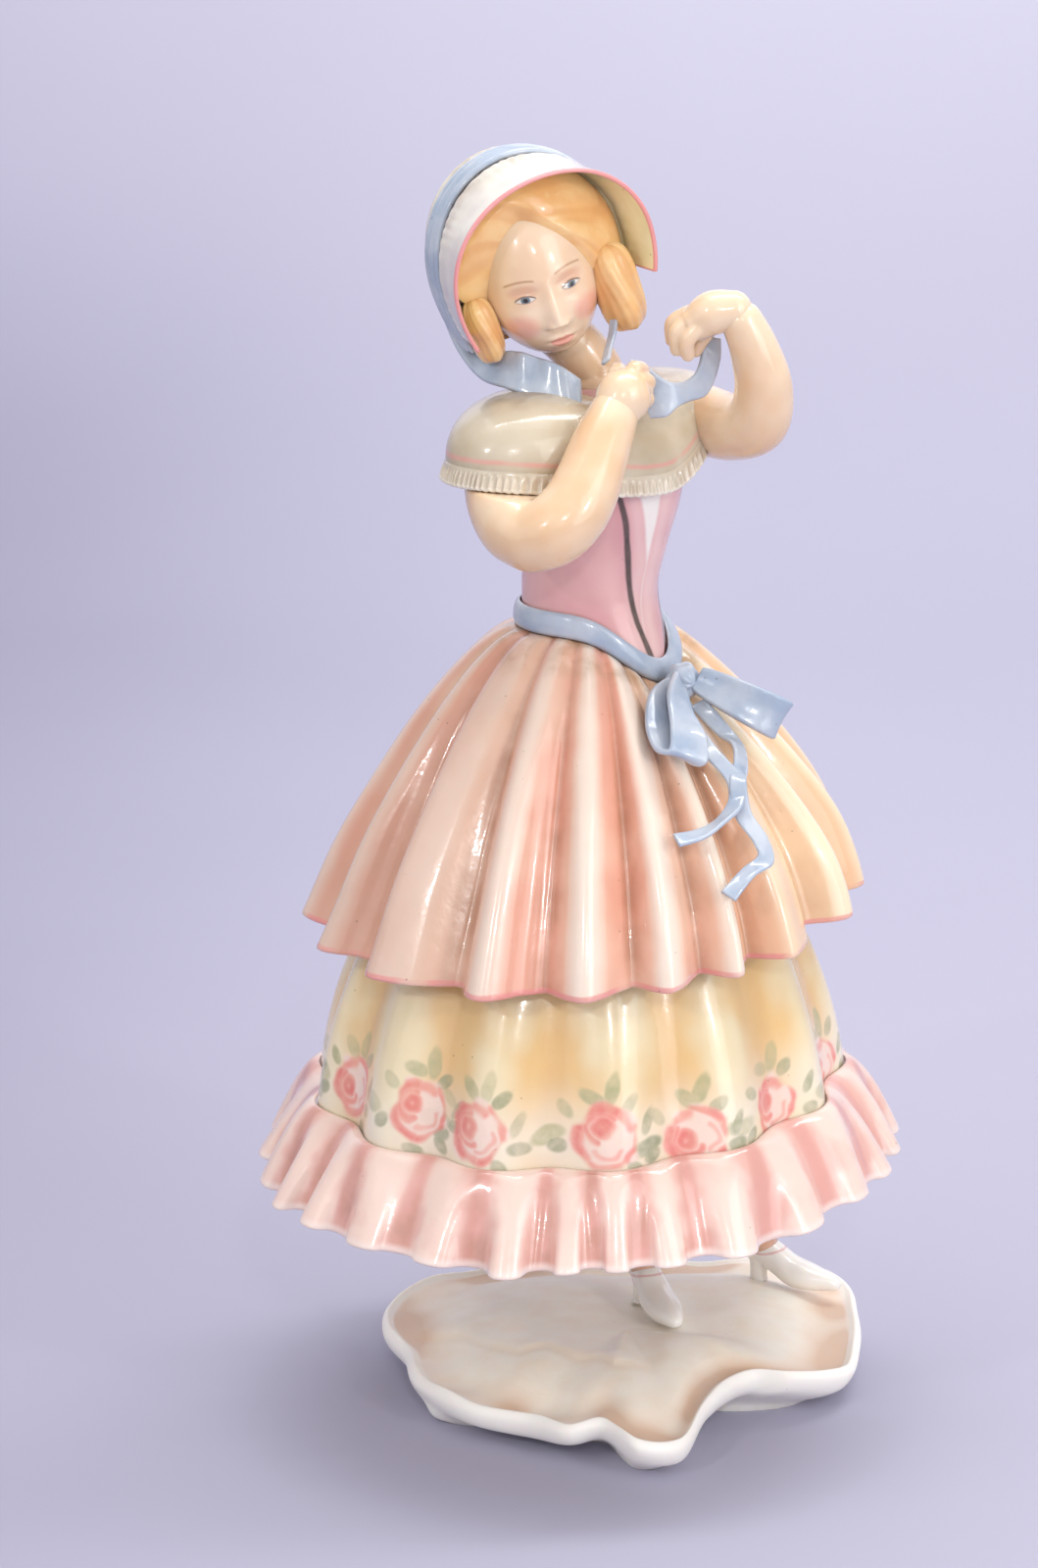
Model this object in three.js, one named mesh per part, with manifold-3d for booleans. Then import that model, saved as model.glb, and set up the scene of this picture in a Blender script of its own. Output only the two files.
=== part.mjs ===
import * as THREE from "three";
import { mergeVertices } from "three/addons/utils/BufferGeometryUtils.js";
import Module from "manifold-3d";

// A porcelain figurine of a young country woman who ties the ribbons of her bonnet. She wears a bodice with
// a wide cape collar, a pleated overskirt and a flowered underskirt with a gathered frill, and she stands on
// a scalloped base. Each slip-cast piece is its own closed solid. Millimetres, +Z up. The origin is on the
// underside of the base, below the middle of the waist. The figure faces -Y before it is turned on the base.

const wasm = await Module();
wasm.setup();

// Driving dimensions

const SEAT_GAP = 0.3;
const WAIST_HEIGHT = 139.3;
const FIGURE_TURN = 45;

const BASE_RIM_HEIGHT = 6.4;
const BASE_LIP_RISE = 1.1;
const BASE_MOUND_RISE = 4.2;
const BASE_CENTRE = [6, 5];
// The rim's line: where each point lies and how far it rises above the rim's least height.
const BASE_OUTLINE = [
  [47, 20, 2], [46, 31, 2.3], [37, 42, 2.3], [22, 44, 2.2], [5, 43, 1.9], [-12, 42, 1.8], [-27, 37.5, 1.6],
  [-35, 28, 1], [-36.5, 16, 0.5], [-32.5, 4, 0.3], [-30.5, -8, 0.2], [-22, -19.5, 0], [-11, -25, -0.4],
  [-4.5, -30.5, 0.7],
  [1, -30.5, 1.8], [7, -37.5, 0.8], [14, -35.5, -0.4], [19.5, -23, 2.2], [27, -12.5, 2.5], [34, -12.5, 3],
  [43.5, -5, 0.4], [46.7, 8, 1],
];
// Each foot: where it lies round the base, and how far in from the rim it meets the ground.
const BASE_FEET = [[-150, 7], [-66, 3.8], [5, 7], [78, 9], [140, 7]];
const BASE_FOOT_SPREAD = 15;

const SHOE_LENGTH = 18;
const SHOE_WIDTH = 6.4;
const SHOE_HEEL_HEIGHT = 6;
const RIGHT_SHOE = { toe: [14.7, 1.2], heading: 22, sink: 0 };
const LEFT_SHOE = { toe: [44, 23], heading: 65, sink: 1.2 };
const ANKLE_RADIUS = 2.5;
const CALF_RADIUS = 4;
const HIP_SPREAD = 5.2;

const WAIST_RADIUS = 11.2;
const WAIST_SHIFT = [-0.9, 0.9];
const WAIST_FLARE = 2.4;
const WAIST_FLARE_SIDE = 62;
const BODICE_TURN = 14;
const SASH_WIDTH = 4;
const SASH_THICKNESS = 0.9;
const SASH_FLARE = 1.1;
const BASQUE_REACH = 2.8;
const BASQUE_DROP = 8.2;

const OVERSKIRT_LENGTH = 48.5;
const OVERSKIRT_TILT = 4.8;
const SKIRT_HIGH_SIDE = 100;
const OVERSKIRT_RADIUS = 44.8;
const SKIRT_DRIFT = [-1.8, 1.8];
const SKIRT_DRIFT_DROP = 88;
const OVERSKIRT_WALL = 1.5;
const OVERSKIRT_FOLD = 2.2;
const OVERSKIRT_CRESTS = [-134, -113, -93, -66, -45, -28, -13, 1, 25, 43, 64, 86, 108, 130, 151, 172, 197];

const UNDERSKIRT_TOP_DROP = 13.5;
const UNDERSKIRT_LENGTH = 72.2;
const UNDERSKIRT_TOP_RADIUS = 12.5;
const UNDERSKIRT_RADIUS = 43.8;
const UNDERSKIRT_WALL = 1.8;
const UNDERSKIRT_FOLD = 1.5;
const UNDERSKIRT_FOLDS = 13;
const UNDERSKIRT_TILT = 3.4;

const FRILL_OVERLAP = 6;
const FRILL_DEPTH = 13.2;
const FRILL_RADIUS = 53.2;
const FRILL_WALL = 1.2;
const FRILL_FOLD = 1.9;
const FRILL_FOLDS = 29;

const BODICE_HEIGHT = 29;
const BUST_WIDTH = 15.6;
const BUST_DEPTH = 14;
const BACK_DEPTH = 11;
const NECK_RADIUS = 4.5;
const NECK_BASE_HEIGHT = 38;

const COLLAR_HEIGHT = 37.5;
const COLLAR_DROP = 9.6;
const COLLAR_WALL = 1.3;
const COLLAR_HALF_WIDTH = 26.5;
const COLLAR_HALF_DEPTH = 16.5;
const COLLAR_NECK_WIDTH = 12;
const COLLAR_NECK_DEPTH = 9;
const COLLAR_FRILL_WIDTH = 2.6;
const COLLAR_FRILL_RIBS = 50;
const COLLAR_FRILL_CRIMP = 0.28;

const HEAD_CENTRE = [-9.1, 4.7, 56.2];
const HEAD_NOD = 10;
const HEAD_LEAN = -18;
const HEAD_TURN = 8;
const HEAD_HALF_WIDTH = 9.9;
const HEAD_HALF_DEPTH = 11.2;
const HEAD_HALF_HEIGHT = 15.1;
const HAIR_THICKNESS = 1.5;
const BONNET_WALL = 1.2;
const BONNET_BAND_WIDTH = 4.5;
const BONNET_RADIUS = 15.2;
const BONNET_TALL = 1.1;
const BONNET_TURN = 12;
const CROWN_START = 0;
const CROWN_DEPTH = 17;
const CROWN_PUFF = 0.12;
const BRIM_TOP_RADIUS = 14.4;
const BRIM_SIDE_RADIUS = 17.4;
const BRIM_REACH = 12;
const BRIM_SPREAD = 114;

const RIBBON_THICKNESS = 1;
const SASH_RIBBON_WIDTH = 6;
const SASH_TAIL_WIDTH = 2.6;
const TIE_STRAND_WIDTH = 1.4;

// Small helpers

const rad = THREE.MathUtils.degToRad;
const lerp = THREE.MathUtils.lerp;
const V = (x, y, z) => new THREE.Vector3(x, y, z);
const smooth = (value, from, to) => THREE.MathUtils.smoothstep(value, from, to);
const bump = (value, centre, spread) => Math.exp(-(((value - centre) / spread) ** 2));

// The shortest turn from one angle to another, in degrees.
function turnBetween(from, to) {
  return ((((to - from) % 360) + 540) % 360) - 180;
}

// A point at a given angle round the figure, where 0 degrees is the front (-Y) and 90 is her left (+X).
function around(angle, radius, z) {
  return V(radius * Math.sin(rad(angle)), -radius * Math.cos(rad(angle)), z);
}

// Turns rings of points into one closed surface. Each ring runs counter-clockwise seen from the end of the
// stack. Open stacks are capped with a fan at each end, and looped stacks join the last ring to the first.
function skin(rings, looped = false) {
  const count = rings[0].length;
  const positions = rings.flat().flatMap((p) => [p.x, p.y, p.z]);
  const index = [];
  const steps = looped ? rings.length : rings.length - 1;
  for (let k = 0; k < steps; k++) {
    const low = k * count;
    const high = ((k + 1) % rings.length) * count;
    for (let i = 0; i < count; i++) {
      const j = (i + 1) % count;
      index.push(low + i, low + j, high + j, low + i, high + j, high + i);
    }
  }
  if (!looped) {
    const ends = [[rings[0], 0, true], [rings.at(-1), (rings.length - 1) * count, false]];
    for (const [ring, base, flip] of ends) {
      const middle = ring.reduce((sum, p) => sum.add(p), V(0, 0, 0)).divideScalar(count);
      const apex = positions.length / 3;
      positions.push(middle.x, middle.y, middle.z);
      for (let i = 0; i < count; i++) {
        const j = (i + 1) % count;
        index.push(apex, base + (flip ? j : i), base + (flip ? i : j));
      }
    }
  }
  const geometry = new THREE.BufferGeometry();
  geometry.setAttribute("position", new THREE.Float32BufferAttribute(positions, 3));
  geometry.setIndex(index);
  return geometry;
}

// Rings of a surface that wraps round the figure: point(angle, v) for v from 0 to 1.
function wrap(point, angles, steps) {
  return Array.from({ length: steps + 1 }, (_, k) => angles.map((a) => point(a, k / steps)));
}

const evenAngles = (count) => Array.from({ length: count }, (_, i) => (360 * i) / count);

// A shell between an outer and an inner surface, open at both ends of its stack.
function shell(outer, inner) {
  return skin([...inner, ...[...outer].reverse()], true);
}

// A sheet with thickness: point(u, v) is its middle surface, and u and v run from 0 to 1.
function sheet(point, columns, rows, thickness, closed = false) {
  const step = 1e-3;
  const normal = (u, v) => {
    const across = point(closed ? u + step : Math.min(u + step, 1), v).sub(
      point(closed ? u - step : Math.max(u - step, 0), v),
    );
    const along = point(u, Math.min(v + step, 1)).sub(point(u, Math.max(v - step, 0)));
    return across.cross(along).normalize();
  };
  const lines = closed ? columns : columns + 1;
  const positions = [];
  for (const side of [0.5, -0.5]) {
    for (let i = 0; i < lines; i++) {
      for (let k = 0; k <= rows; k++) {
        const [u, v] = [i / columns, k / rows];
        const p = point(u, v).addScaledVector(normal(u, v), side * thickness);
        positions.push(p.x, p.y, p.z);
      }
    }
  }
  const front = (i, k) => (i % lines) * (rows + 1) + k;
  const back = (i, k) => lines * (rows + 1) + front(i, k);
  const index = [];
  const quad = (a, b, c, d) => index.push(a, b, c, a, c, d);
  for (let i = 0; i < columns; i++) {
    for (let k = 0; k < rows; k++) {
      quad(front(i, k), front(i + 1, k), front(i + 1, k + 1), front(i, k + 1));
      quad(back(i, k), back(i, k + 1), back(i + 1, k + 1), back(i + 1, k));
    }
    quad(front(i, 0), back(i, 0), back(i + 1, 0), front(i + 1, 0));
    quad(front(i, rows), front(i + 1, rows), back(i + 1, rows), back(i, rows));
  }
  if (!closed) {
    for (let k = 0; k < rows; k++) {
      quad(front(0, k), front(0, k + 1), back(0, k + 1), back(0, k));
      quad(front(columns, k), back(columns, k), back(columns, k + 1), front(columns, k + 1));
    }
  }
  const geometry = new THREE.BufferGeometry();
  geometry.setAttribute("position", new THREE.Float32BufferAttribute(positions, 3));
  geometry.setIndex(index);
  return geometry;
}

// A smooth curve through points.
function curveThrough(points) {
  return new THREE.CatmullRomCurve3(points.map((p) => V(...p)), false, "centripetal");
}

// A flat ribbon that follows path points, each with the direction its width lies in.
function ribbon(points, widths, breadth, steps, thickness = RIBBON_THICKNESS) {
  const path = curveThrough(points);
  const lay = curveThrough(widths);
  const breadthAt = typeof breadth === "function" ? breadth : () => breadth;
  const point = (u, v) => {
    return path.getPoint(u).addScaledVector(lay.getPoint(u).normalize(), (v - 0.5) * breadthAt(u));
  };
  return sheet(point, steps, 1, thickness);
}

// A round limb along a curve, with a radius for each of its points and rounded ends.
function limb(points, radii, sides, steps, roundEnds = true) {
  const path = curveThrough(points);
  const size = curveThrough(radii.map((r, i) => [i, r, 0]));
  const radiusAt = (share) => size.getPoint(path.getUtoTmapping(share)).y;
  const frames = path.computeFrenetFrames(steps, false);
  const ring = (k, along, share) => {
    const middle = path.getPointAt(k / steps).addScaledVector(frames.tangents[k], along);
    return Array.from({ length: sides }, (_, i) => {
      const turn = (2 * Math.PI * i) / sides;
      return middle
        .clone()
        .addScaledVector(frames.normals[k], Math.cos(turn) * share * radiusAt(k / steps))
        .addScaledVector(frames.binormals[k], Math.sin(turn) * share * radiusAt(k / steps));
    });
  };
  const rings = Array.from({ length: steps + 1 }, (_, k) => ring(k, 0, 1));
  if (roundEnds) {
    rings.unshift(ring(0, -0.7 * radiusAt(0), 0.68));
    rings.push(ring(steps, 0.7 * radiusAt(1), 0.68));
  }
  return skin(rings);
}

// An egg with its own half-sizes, whose surface can be reshaped by a function of its unit direction.
function egg(centre, half, columns, rows, reshape = () => 1) {
  const rings = [];
  for (let k = 1; k < rows; k++) {
    const tilt = (Math.PI * k) / rows - Math.PI / 2;
    rings.push(
      Array.from({ length: columns }, (_, i) => {
        const turn = (2 * Math.PI * i) / columns;
        const d = V(Math.cos(tilt) * Math.sin(turn), -Math.cos(tilt) * Math.cos(turn), Math.sin(tilt));
        return V(...centre).add(d.clone().multiply(V(...half)).multiplyScalar(reshape(d)));
      }),
    );
  }
  const geometry = skin(rings);
  const position = geometry.attributes.position;
  const poles = [V(0, 0, -1), V(0, 0, 1)].map((d) =>
    V(...centre).add(d.clone().multiply(V(...half)).multiplyScalar(reshape(d))),
  );
  poles.forEach((p, i) => position.setXYZ(position.count - 2 + i, p.x, p.y, p.z));
  return geometry;
}

// Solids: closed meshes that can be joined and cut

function solidOf(geometry) {
  const bare = new THREE.BufferGeometry();
  bare.setAttribute("position", geometry.getAttribute("position").clone());
  if (geometry.index) bare.setIndex(geometry.index.clone());
  const merged = mergeVertices(bare, 1e-4);
  const made = new wasm.Manifold(
    new wasm.Mesh({
      numProp: 3,
      vertProperties: new Float32Array(merged.attributes.position.array),
      triVerts: new Uint32Array(merged.index.array),
    }),
  );
  if (made.volume() < 0) throw new Error("a surface faces inwards");
  return made;
}

function geometryOf(solid) {
  const mesh = solid.getMesh();
  const geometry = new THREE.BufferGeometry();
  geometry.setAttribute("position", new THREE.BufferAttribute(new Float32Array(mesh.vertProperties), 3));
  geometry.setIndex(new THREE.BufferAttribute(new Uint32Array(mesh.triVerts), 1));
  return geometry;
}

// The same surface moved outwards by a distance.
function grown(geometry, distance = SEAT_GAP) {
  const merged = mergeVertices(
    new THREE.BufferGeometry().setAttribute("position", geometry.getAttribute("position").clone()).setIndex(
      geometry.index.clone(),
    ),
    1e-4,
  );
  merged.computeVertexNormals();
  const position = merged.attributes.position;
  const normal = merged.attributes.normal;
  for (let i = 0; i < position.count; i++) {
    const outward = V().fromBufferAttribute(normal, i);
    const p = V().fromBufferAttribute(position, i).addScaledVector(outward, distance);
    position.setXYZ(i, p.x, p.y, p.z);
  }
  merged.deleteAttribute("normal");
  return merged;
}

const largest = (solid) => solid.decompose().sort((a, b) => b.volume() - a.volume())[0];

const join = (...geometries) => geometryOf(geometries.map(solidOf).reduce((a, b) => a.add(b)));

// Takes some rooms away from a piece and keeps its main body.
function carve(geometry, ...rooms) {
  let solid = solidOf(geometry);
  for (const room of rooms) solid = solid.subtract(solidOf(room));
  return geometryOf(largest(solid));
}

// Cuts a piece back so that it keeps the seat gap to each neighbour.
const seat = (geometry, ...neighbours) => carve(geometry, ...neighbours.map((neighbour) => grown(neighbour)));

// The stand: a shallow dish with a scalloped rim that rests on lobed feet

const baseEdge = new THREE.CatmullRomCurve3(
  BASE_OUTLINE.map(([x, y, rise]) => V(x - BASE_CENTRE[0], y - BASE_CENTRE[1], rise)),
  true,
  "centripetal",
);
const BASE_COLUMNS = 54;

// A ring of the base. The inset and the height can follow the feet, their own insets and the rim's height.
function baseRing(inset, share, height) {
  return Array.from({ length: BASE_COLUMNS }, (_, i) => {
    const edge = baseEdge.getPoint(i / BASE_COLUMNS);
    const rim = BASE_RIM_HEIGHT + edge.z;
    const turn = THREE.MathUtils.radToDeg(Math.atan2(edge.x, -edge.y));
    const near = BASE_FEET.map(([at]) => bump(turnBetween(at, turn), 0, BASE_FOOT_SPREAD));
    const foot = Math.max(...near);
    const footInset = BASE_FEET[near.indexOf(foot)][1];
    edge.setZ(0);
    const reach = (edge.length() - inset(foot, footInset)) * share;
    return edge.setLength(reach).setZ(height(rim, foot)).add(V(...BASE_CENTRE, 0));
  });
}

const moundHeight = (share) => BASE_MOUND_RISE * (1 - smooth(share, 0.6, 0.97));

function makeBase() {
  return skin([
    baseRing((foot, footInset) => lerp(14, footInset, foot), 1, () => 0),
    baseRing((foot, footInset) => lerp(12.5, footInset - 1.6, foot), 1, (rim, foot) => lerp(2, 0.9, foot)),
    baseRing(() => 1.3, 1, (rim) => rim - 3.2),
    baseRing(() => 0, 1, (rim) => rim - 0.4),
    baseRing(() => 0.9, 1, (rim) => rim + BASE_LIP_RISE),
    baseRing(() => 2.4, 1, (rim) => rim + 0.3),
    ...[0.9, 0.75, 0.55, 0.3].map((share) =>
      baseRing(() => 2.4, share, (rim) => lerp(BASE_RIM_HEIGHT + 1, rim - 0.2, share) + moundHeight(share)),
    ),
  ]);
}

// Shoes and legs

// A pointed shoe that lies along -Y with its toe tip at the origin.
function makeShoe({ toe, heading, sink }) {
  const half = SHOE_WIDTH / 2;
  const stations = [
    [0, 0.22, 0.5, 1.9], [0.1, 0.55, 0.2, 3], [0.3, 0.95, 0, 4.2], [0.5, 1, 0.3, 5.4], [0.68, 0.85, 2, 7.6],
    [0.84, 0.75, 3.6, 8.6], [0.97, 0.62, 4.2, 8.2],
  ];
  const rings = stations.map(([share, width, sole, top]) => {
    const [middle, high] = [(sole + top) / 2, (top - sole) / 2];
    return Array.from({ length: 10 }, (_, i) => {
      const turn = (2 * Math.PI * i) / 10;
      const flat = Math.sin(turn) < 0 ? 1.25 : 1;
      const up = THREE.MathUtils.clamp(Math.sin(turn) * flat, -1, 1);
      return V(-width * half * Math.cos(turn), share * SHOE_LENGTH, middle + high * up);
    });
  });
  const heelAt = 0.86 * SHOE_LENGTH;
  const heel = new THREE.CylinderGeometry(2, 1.5, SHOE_HEEL_HEIGHT + 2, 8)
    .rotateX(Math.PI / 2)
    .translate(0, heelAt, (SHOE_HEEL_HEIGHT + 2) / 2 - 2);
  return join(skin(rings), heel)
    .rotateZ(rad(heading))
    .translate(toe[0], toe[1], DISH_HEIGHT + 0.2 - sink);
}

const DISH_HEIGHT = BASE_RIM_HEIGHT + 1 + BASE_MOUND_RISE;

function ankleOf({ toe, heading, sink }) {
  const back = 0.8 * SHOE_LENGTH;
  const [along, aside] = [back * Math.cos(rad(heading)), back * Math.sin(rad(heading))];
  return V(toe[0] - aside, toe[1] + along, DISH_HEIGHT + 7 - sink);
}

// A leg from the shoe's opening up to the underside of the underskirt's top.
function makeLeg(shoe, side) {
  const ankle = ankleOf(shoe);
  const hip = V(side * HIP_SPREAD, 0, 0)
    .applyAxisAngle(V(0, 0, 1), rad(FIGURE_TURN))
    .setZ(WAIST_HEIGHT - UNDERSKIRT_TOP_DROP - UNDERSKIRT_WALL - SEAT_GAP - 1);
  const at = (share) => ankle.clone().lerp(hip, share).toArray();
  return limb(
    [at(0), at(0.08), at(0.28), at(0.45), hip.clone().setZ(hip.z - 30).toArray(), hip.toArray()],
    [
      ANKLE_RADIUS, ANKLE_RADIUS * 1.05, CALF_RADIUS, CALF_RADIUS * 0.95, CALF_RADIUS * 1.2,
      CALF_RADIUS * 1.25,
    ],
    10, 7, false,
  );
}

// The waist line dips to a point at the front, where the bodice reaches over the skirts

const dip = (turn) => ((1 + Math.cos(rad(turn - BODICE_TURN))) / 2) ** 8;
const waistHeight = (turn) => -BASQUE_DROP * dip(turn);
const waistRadius = (turn) => WAIST_RADIUS + BASQUE_REACH * dip(turn);
const waistFlare = (turn) => WAIST_FLARE * bump(turnBetween(WAIST_FLARE_SIDE, turn), 0, 42);
const waistPoint = (turn, radius, z, share = 1) =>
  around(turn, radius, z).add(V(WAIST_SHIFT[0] * share, WAIST_SHIFT[1] * share, 0));

// Skirts

// The skirts hang a little towards her right and back, so their axis drifts with the drop below the waist.
function hang(turn, radius, z) {
  const share = Math.max(-z, 0) / SKIRT_DRIFT_DROP;
  const [x, y] = WAIST_SHIFT.map((shift, i) => lerp(shift, SKIRT_DRIFT[i], share));
  return around(turn, radius, z).add(V(x, y, 0));
}

const bell = (share, mix) => mix * Math.sin((share * Math.PI) / 2) + (1 - mix) * share;
const overskirtTop = (turn) => waistHeight(turn) - SASH_WIDTH / 2;
const overskirtHem = (turn) => -OVERSKIRT_LENGTH + OVERSKIRT_TILT * Math.cos(rad(turn - SKIRT_HIGH_SIDE));

// How far along a pleat an angle lies: 0 and 1 on the crests beside it, 0.5 in the valley.
function pleatShare(turn, crests) {
  for (let i = 0; i < crests.length; i++) {
    const next = crests[(i + 1) % crests.length] + (i + 1 < crests.length ? 0 : 360);
    for (const shift of [-360, 0, 360]) {
      const share = (turn + shift - crests[i]) / (next - crests[i]);
      if (share >= 0 && share < 1) return share;
    }
  }
  return 0;
}

const pleatWave = (turn) => Math.cos(2 * Math.PI * pleatShare(turn, OVERSKIRT_CRESTS));

function overskirtPoint(turn, share, wall = 0) {
  const roundness = 0.3 + 0.3 * Math.cos(rad(turn - FIGURE_TURN));
  const spread = lerp(share ** 0.64, Math.sin((share * Math.PI) / 2), roundness);
  const fold = OVERSKIRT_FOLD * (0.25 + 0.75 * smooth(share, 0, 0.8)) * pleatWave(turn);
  const radius = lerp(waistRadius(turn) + waistFlare(turn) + 0.6, OVERSKIRT_RADIUS, spread) + fold - wall;
  return hang(turn, radius, lerp(overskirtTop(turn), overskirtHem(turn), share) - wall * 0.5 * (1 - share));
}

function overskirtAngles(perPleat) {
  return OVERSKIRT_CRESTS.flatMap((crest, i, crests) => {
    const next = crests[(i + 1) % crests.length] + (i + 1 < crests.length ? 0 : 360);
    return Array.from({ length: perPleat }, (_, k) => lerp(crest, next, k / perPleat));
  });
}

function makeOverskirt() {
  const angles = overskirtAngles(5);
  const rows = (count) => Array.from({ length: count + 1 }, (_, k) => (k / count) ** 1.3);
  const outer = rows(4).map((share) => angles.map((turn) => overskirtPoint(turn, share)));
  const inner = rows(2).map((share) => angles.map((turn) => overskirtPoint(turn, share, OVERSKIRT_WALL)));
  return shell(outer, inner);
}

const underskirtTop = -UNDERSKIRT_TOP_DROP;
const underskirtHem = -UNDERSKIRT_TOP_DROP - UNDERSKIRT_LENGTH;

const skirtTilt = (turn) => UNDERSKIRT_TILT * Math.cos(rad(turn - SKIRT_HIGH_SIDE));

function underskirtPoint(turn, share, wall = 0) {
  const fold = UNDERSKIRT_FOLD * smooth(share, 0.1, 0.9) * Math.cos(rad(UNDERSKIRT_FOLDS * (turn + 10)));
  const spread = bell(share, 0.93 - 0.07 * Math.cos(rad(turn - FIGURE_TURN)));
  const radius = lerp(UNDERSKIRT_TOP_RADIUS, UNDERSKIRT_RADIUS, spread) + fold - wall;
  const tilt = share * skirtTilt(turn);
  return hang(turn, radius, lerp(underskirtTop, underskirtHem, share) + tilt - wall * (1 - share));
}

function makeUnderskirt() {
  const angles = evenAngles(UNDERSKIRT_FOLDS * 5);
  const outer = wrap((turn, share) => underskirtPoint(turn, share), angles, 5);
  const inner = wrap((turn, share) => underskirtPoint(turn, share, UNDERSKIRT_WALL), angles, 3);
  return skin([...inner, ...outer.reverse()]);
}

// Evenly stepped folds come out wider and narrower round the hem.
const frillTurn = (step) => step + 2.6 * Math.sin(rad(5 * step + 20)) + 2.2 * Math.sin(rad(3 * step - 40));

function frillPoint(step, share, wall = 0) {
  const turn = frillTurn(step);
  const level = underskirtHem + FRILL_OVERLAP - share * FRILL_DEPTH;
  const seatShare = Math.min((underskirtTop - level) / UNDERSKIRT_LENGTH, 1);
  const z = level + seatShare * skirtTilt(turn);
  const seatPoint = underskirtPoint(turn, seatShare).sub(hang(turn, 0, z));
  const seatRadius = Math.hypot(seatPoint.x, seatPoint.y) + SEAT_GAP + 0.1 + FRILL_WALL;
  const depth = FRILL_FOLD * (0.85 + 0.25 * Math.cos(rad(7 * step + 60)));
  const fold = depth * share ** 0.7 * Math.cos(rad(FRILL_FOLDS * step));
  return hang(turn, lerp(seatRadius, FRILL_RADIUS, share ** 0.75) + fold - wall, z);
}

function makeFrill() {
  const angles = evenAngles(FRILL_FOLDS * 4);
  const outer = wrap((step, share) => frillPoint(step, share), angles, 2);
  const inner = wrap((step, share) => frillPoint(step, share, FRILL_WALL), angles, 1);
  return shell(outer, inner);
}

// Bodice and sash

const oval = (turn, width, front, back) =>
  1 / Math.hypot(Math.sin(rad(turn)) / width, Math.cos(rad(turn)) / (Math.cos(rad(turn)) > 0 ? front : back));

function makeBodice() {
  const angles = evenAngles(24);
  const plug = WAIST_RADIUS - OVERSKIRT_WALL - SEAT_GAP;
  const stations = [
    (turn) => waistPoint(turn, plug, underskirtTop + SEAT_GAP),
    (turn) => waistPoint(turn, waistRadius(turn) - OVERSKIRT_WALL - SEAT_GAP, overskirtTop(turn) - 0.6),
    (turn) => waistPoint(turn, waistRadius(turn) - OVERSKIRT_WALL - SEAT_GAP, overskirtTop(turn) + SEAT_GAP),
    (turn) => waistPoint(turn, waistRadius(turn) - SEAT_GAP, overskirtTop(turn) + SEAT_GAP + 0.2),
    (turn) => waistPoint(turn, waistRadius(turn) - SEAT_GAP, waistHeight(turn) + SASH_WIDTH / 2),
  ];
  // Each station up to the bust and then over the shoulders: height, how far it follows the waist's dip, and
  // its half width and depths. The last one is where the neck stands.
  const torso = [
    [BODICE_HEIGHT * 0.26, 0.5, WAIST_RADIUS, 11.6, 10.8],
    [BODICE_HEIGHT * 0.46, 0.16, 12.2, 12.6, 10.4],
    [BODICE_HEIGHT * 0.66, 0.02, BUST_WIDTH - 1.2, BUST_DEPTH - 0.3, BACK_DEPTH - 0.2],
    [BODICE_HEIGHT * 0.84, 0, BUST_WIDTH, BUST_DEPTH, BACK_DEPTH],
    [BODICE_HEIGHT, 0, BUST_WIDTH, BUST_DEPTH - 2.4, BACK_DEPTH],
    [NECK_BASE_HEIGHT - 4.9, 0, BUST_WIDTH - 1.6, BUST_DEPTH - 5.2, BACK_DEPTH - 2.4],
    [NECK_BASE_HEIGHT - 1.7, 0, NECK_RADIUS + 5.9, NECK_RADIUS + 2.1, NECK_RADIUS + 2.5],
    [NECK_BASE_HEIGHT, 0, NECK_RADIUS + 1.9, NECK_RADIUS + 0.9, NECK_RADIUS + 1.9],
  ].map(([height, share, width, front, back]) => (turn) => {
    const radius = oval(turn - BODICE_TURN * (height < NECK_BASE_HEIGHT - 3 ? 1 : 0), width, front, back);
    return waistPoint(turn, radius, height + waistHeight(turn) * share, 1 - smooth(height, 5, 20));
  });
  return skin([...stations, ...torso].map((station) => angles.map(station)));
}

function makeSashBand() {
  const angles = evenAngles(32);
  const edge = (thickness) => (turn, share) => {
    const z = waistHeight(turn) + SASH_WIDTH * (0.5 - share) + SEAT_GAP * share;
    const flare = share * waistFlare(turn);
    return waistPoint(turn, waistRadius(turn) + thickness * (1 + share * SASH_FLARE) + flare, z);
  };
  return shell(wrap(edge(SASH_THICKNESS), angles, 1), wrap(edge(0), angles, 1));
}

// Moves a point out until it is clear of the overskirt.
function clearOfOverskirt(point, clearance) {
  const turn = THREE.MathUtils.radToDeg(Math.atan2(point.x, -point.y));
  const drop = (point.z - overskirtTop(turn)) / (overskirtHem(turn) - overskirtTop(turn));
  const share = THREE.MathUtils.clamp(drop, 0, 1);
  const surface = overskirtPoint(turn, share, -1.1);
  const least = Math.hypot(surface.x, surface.y) + clearance;
  const radius = Math.hypot(point.x, point.y);
  return radius < least ? point.clone().multiply(V(least / radius, least / radius, 1)) : point;
}

const SASH_KNOT = [2, -18, -9.1];

const makeKnot = () => egg(SASH_KNOT, [2.9, 2.8, 3.2], 12, 7);

// A loop is gathered at the knot and widest at its far end.
const loopBreadth = (u) => lerp(SASH_RIBBON_WIDTH / 2, SASH_RIBBON_WIDTH, Math.sin(Math.PI * u) ** 0.6);

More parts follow.
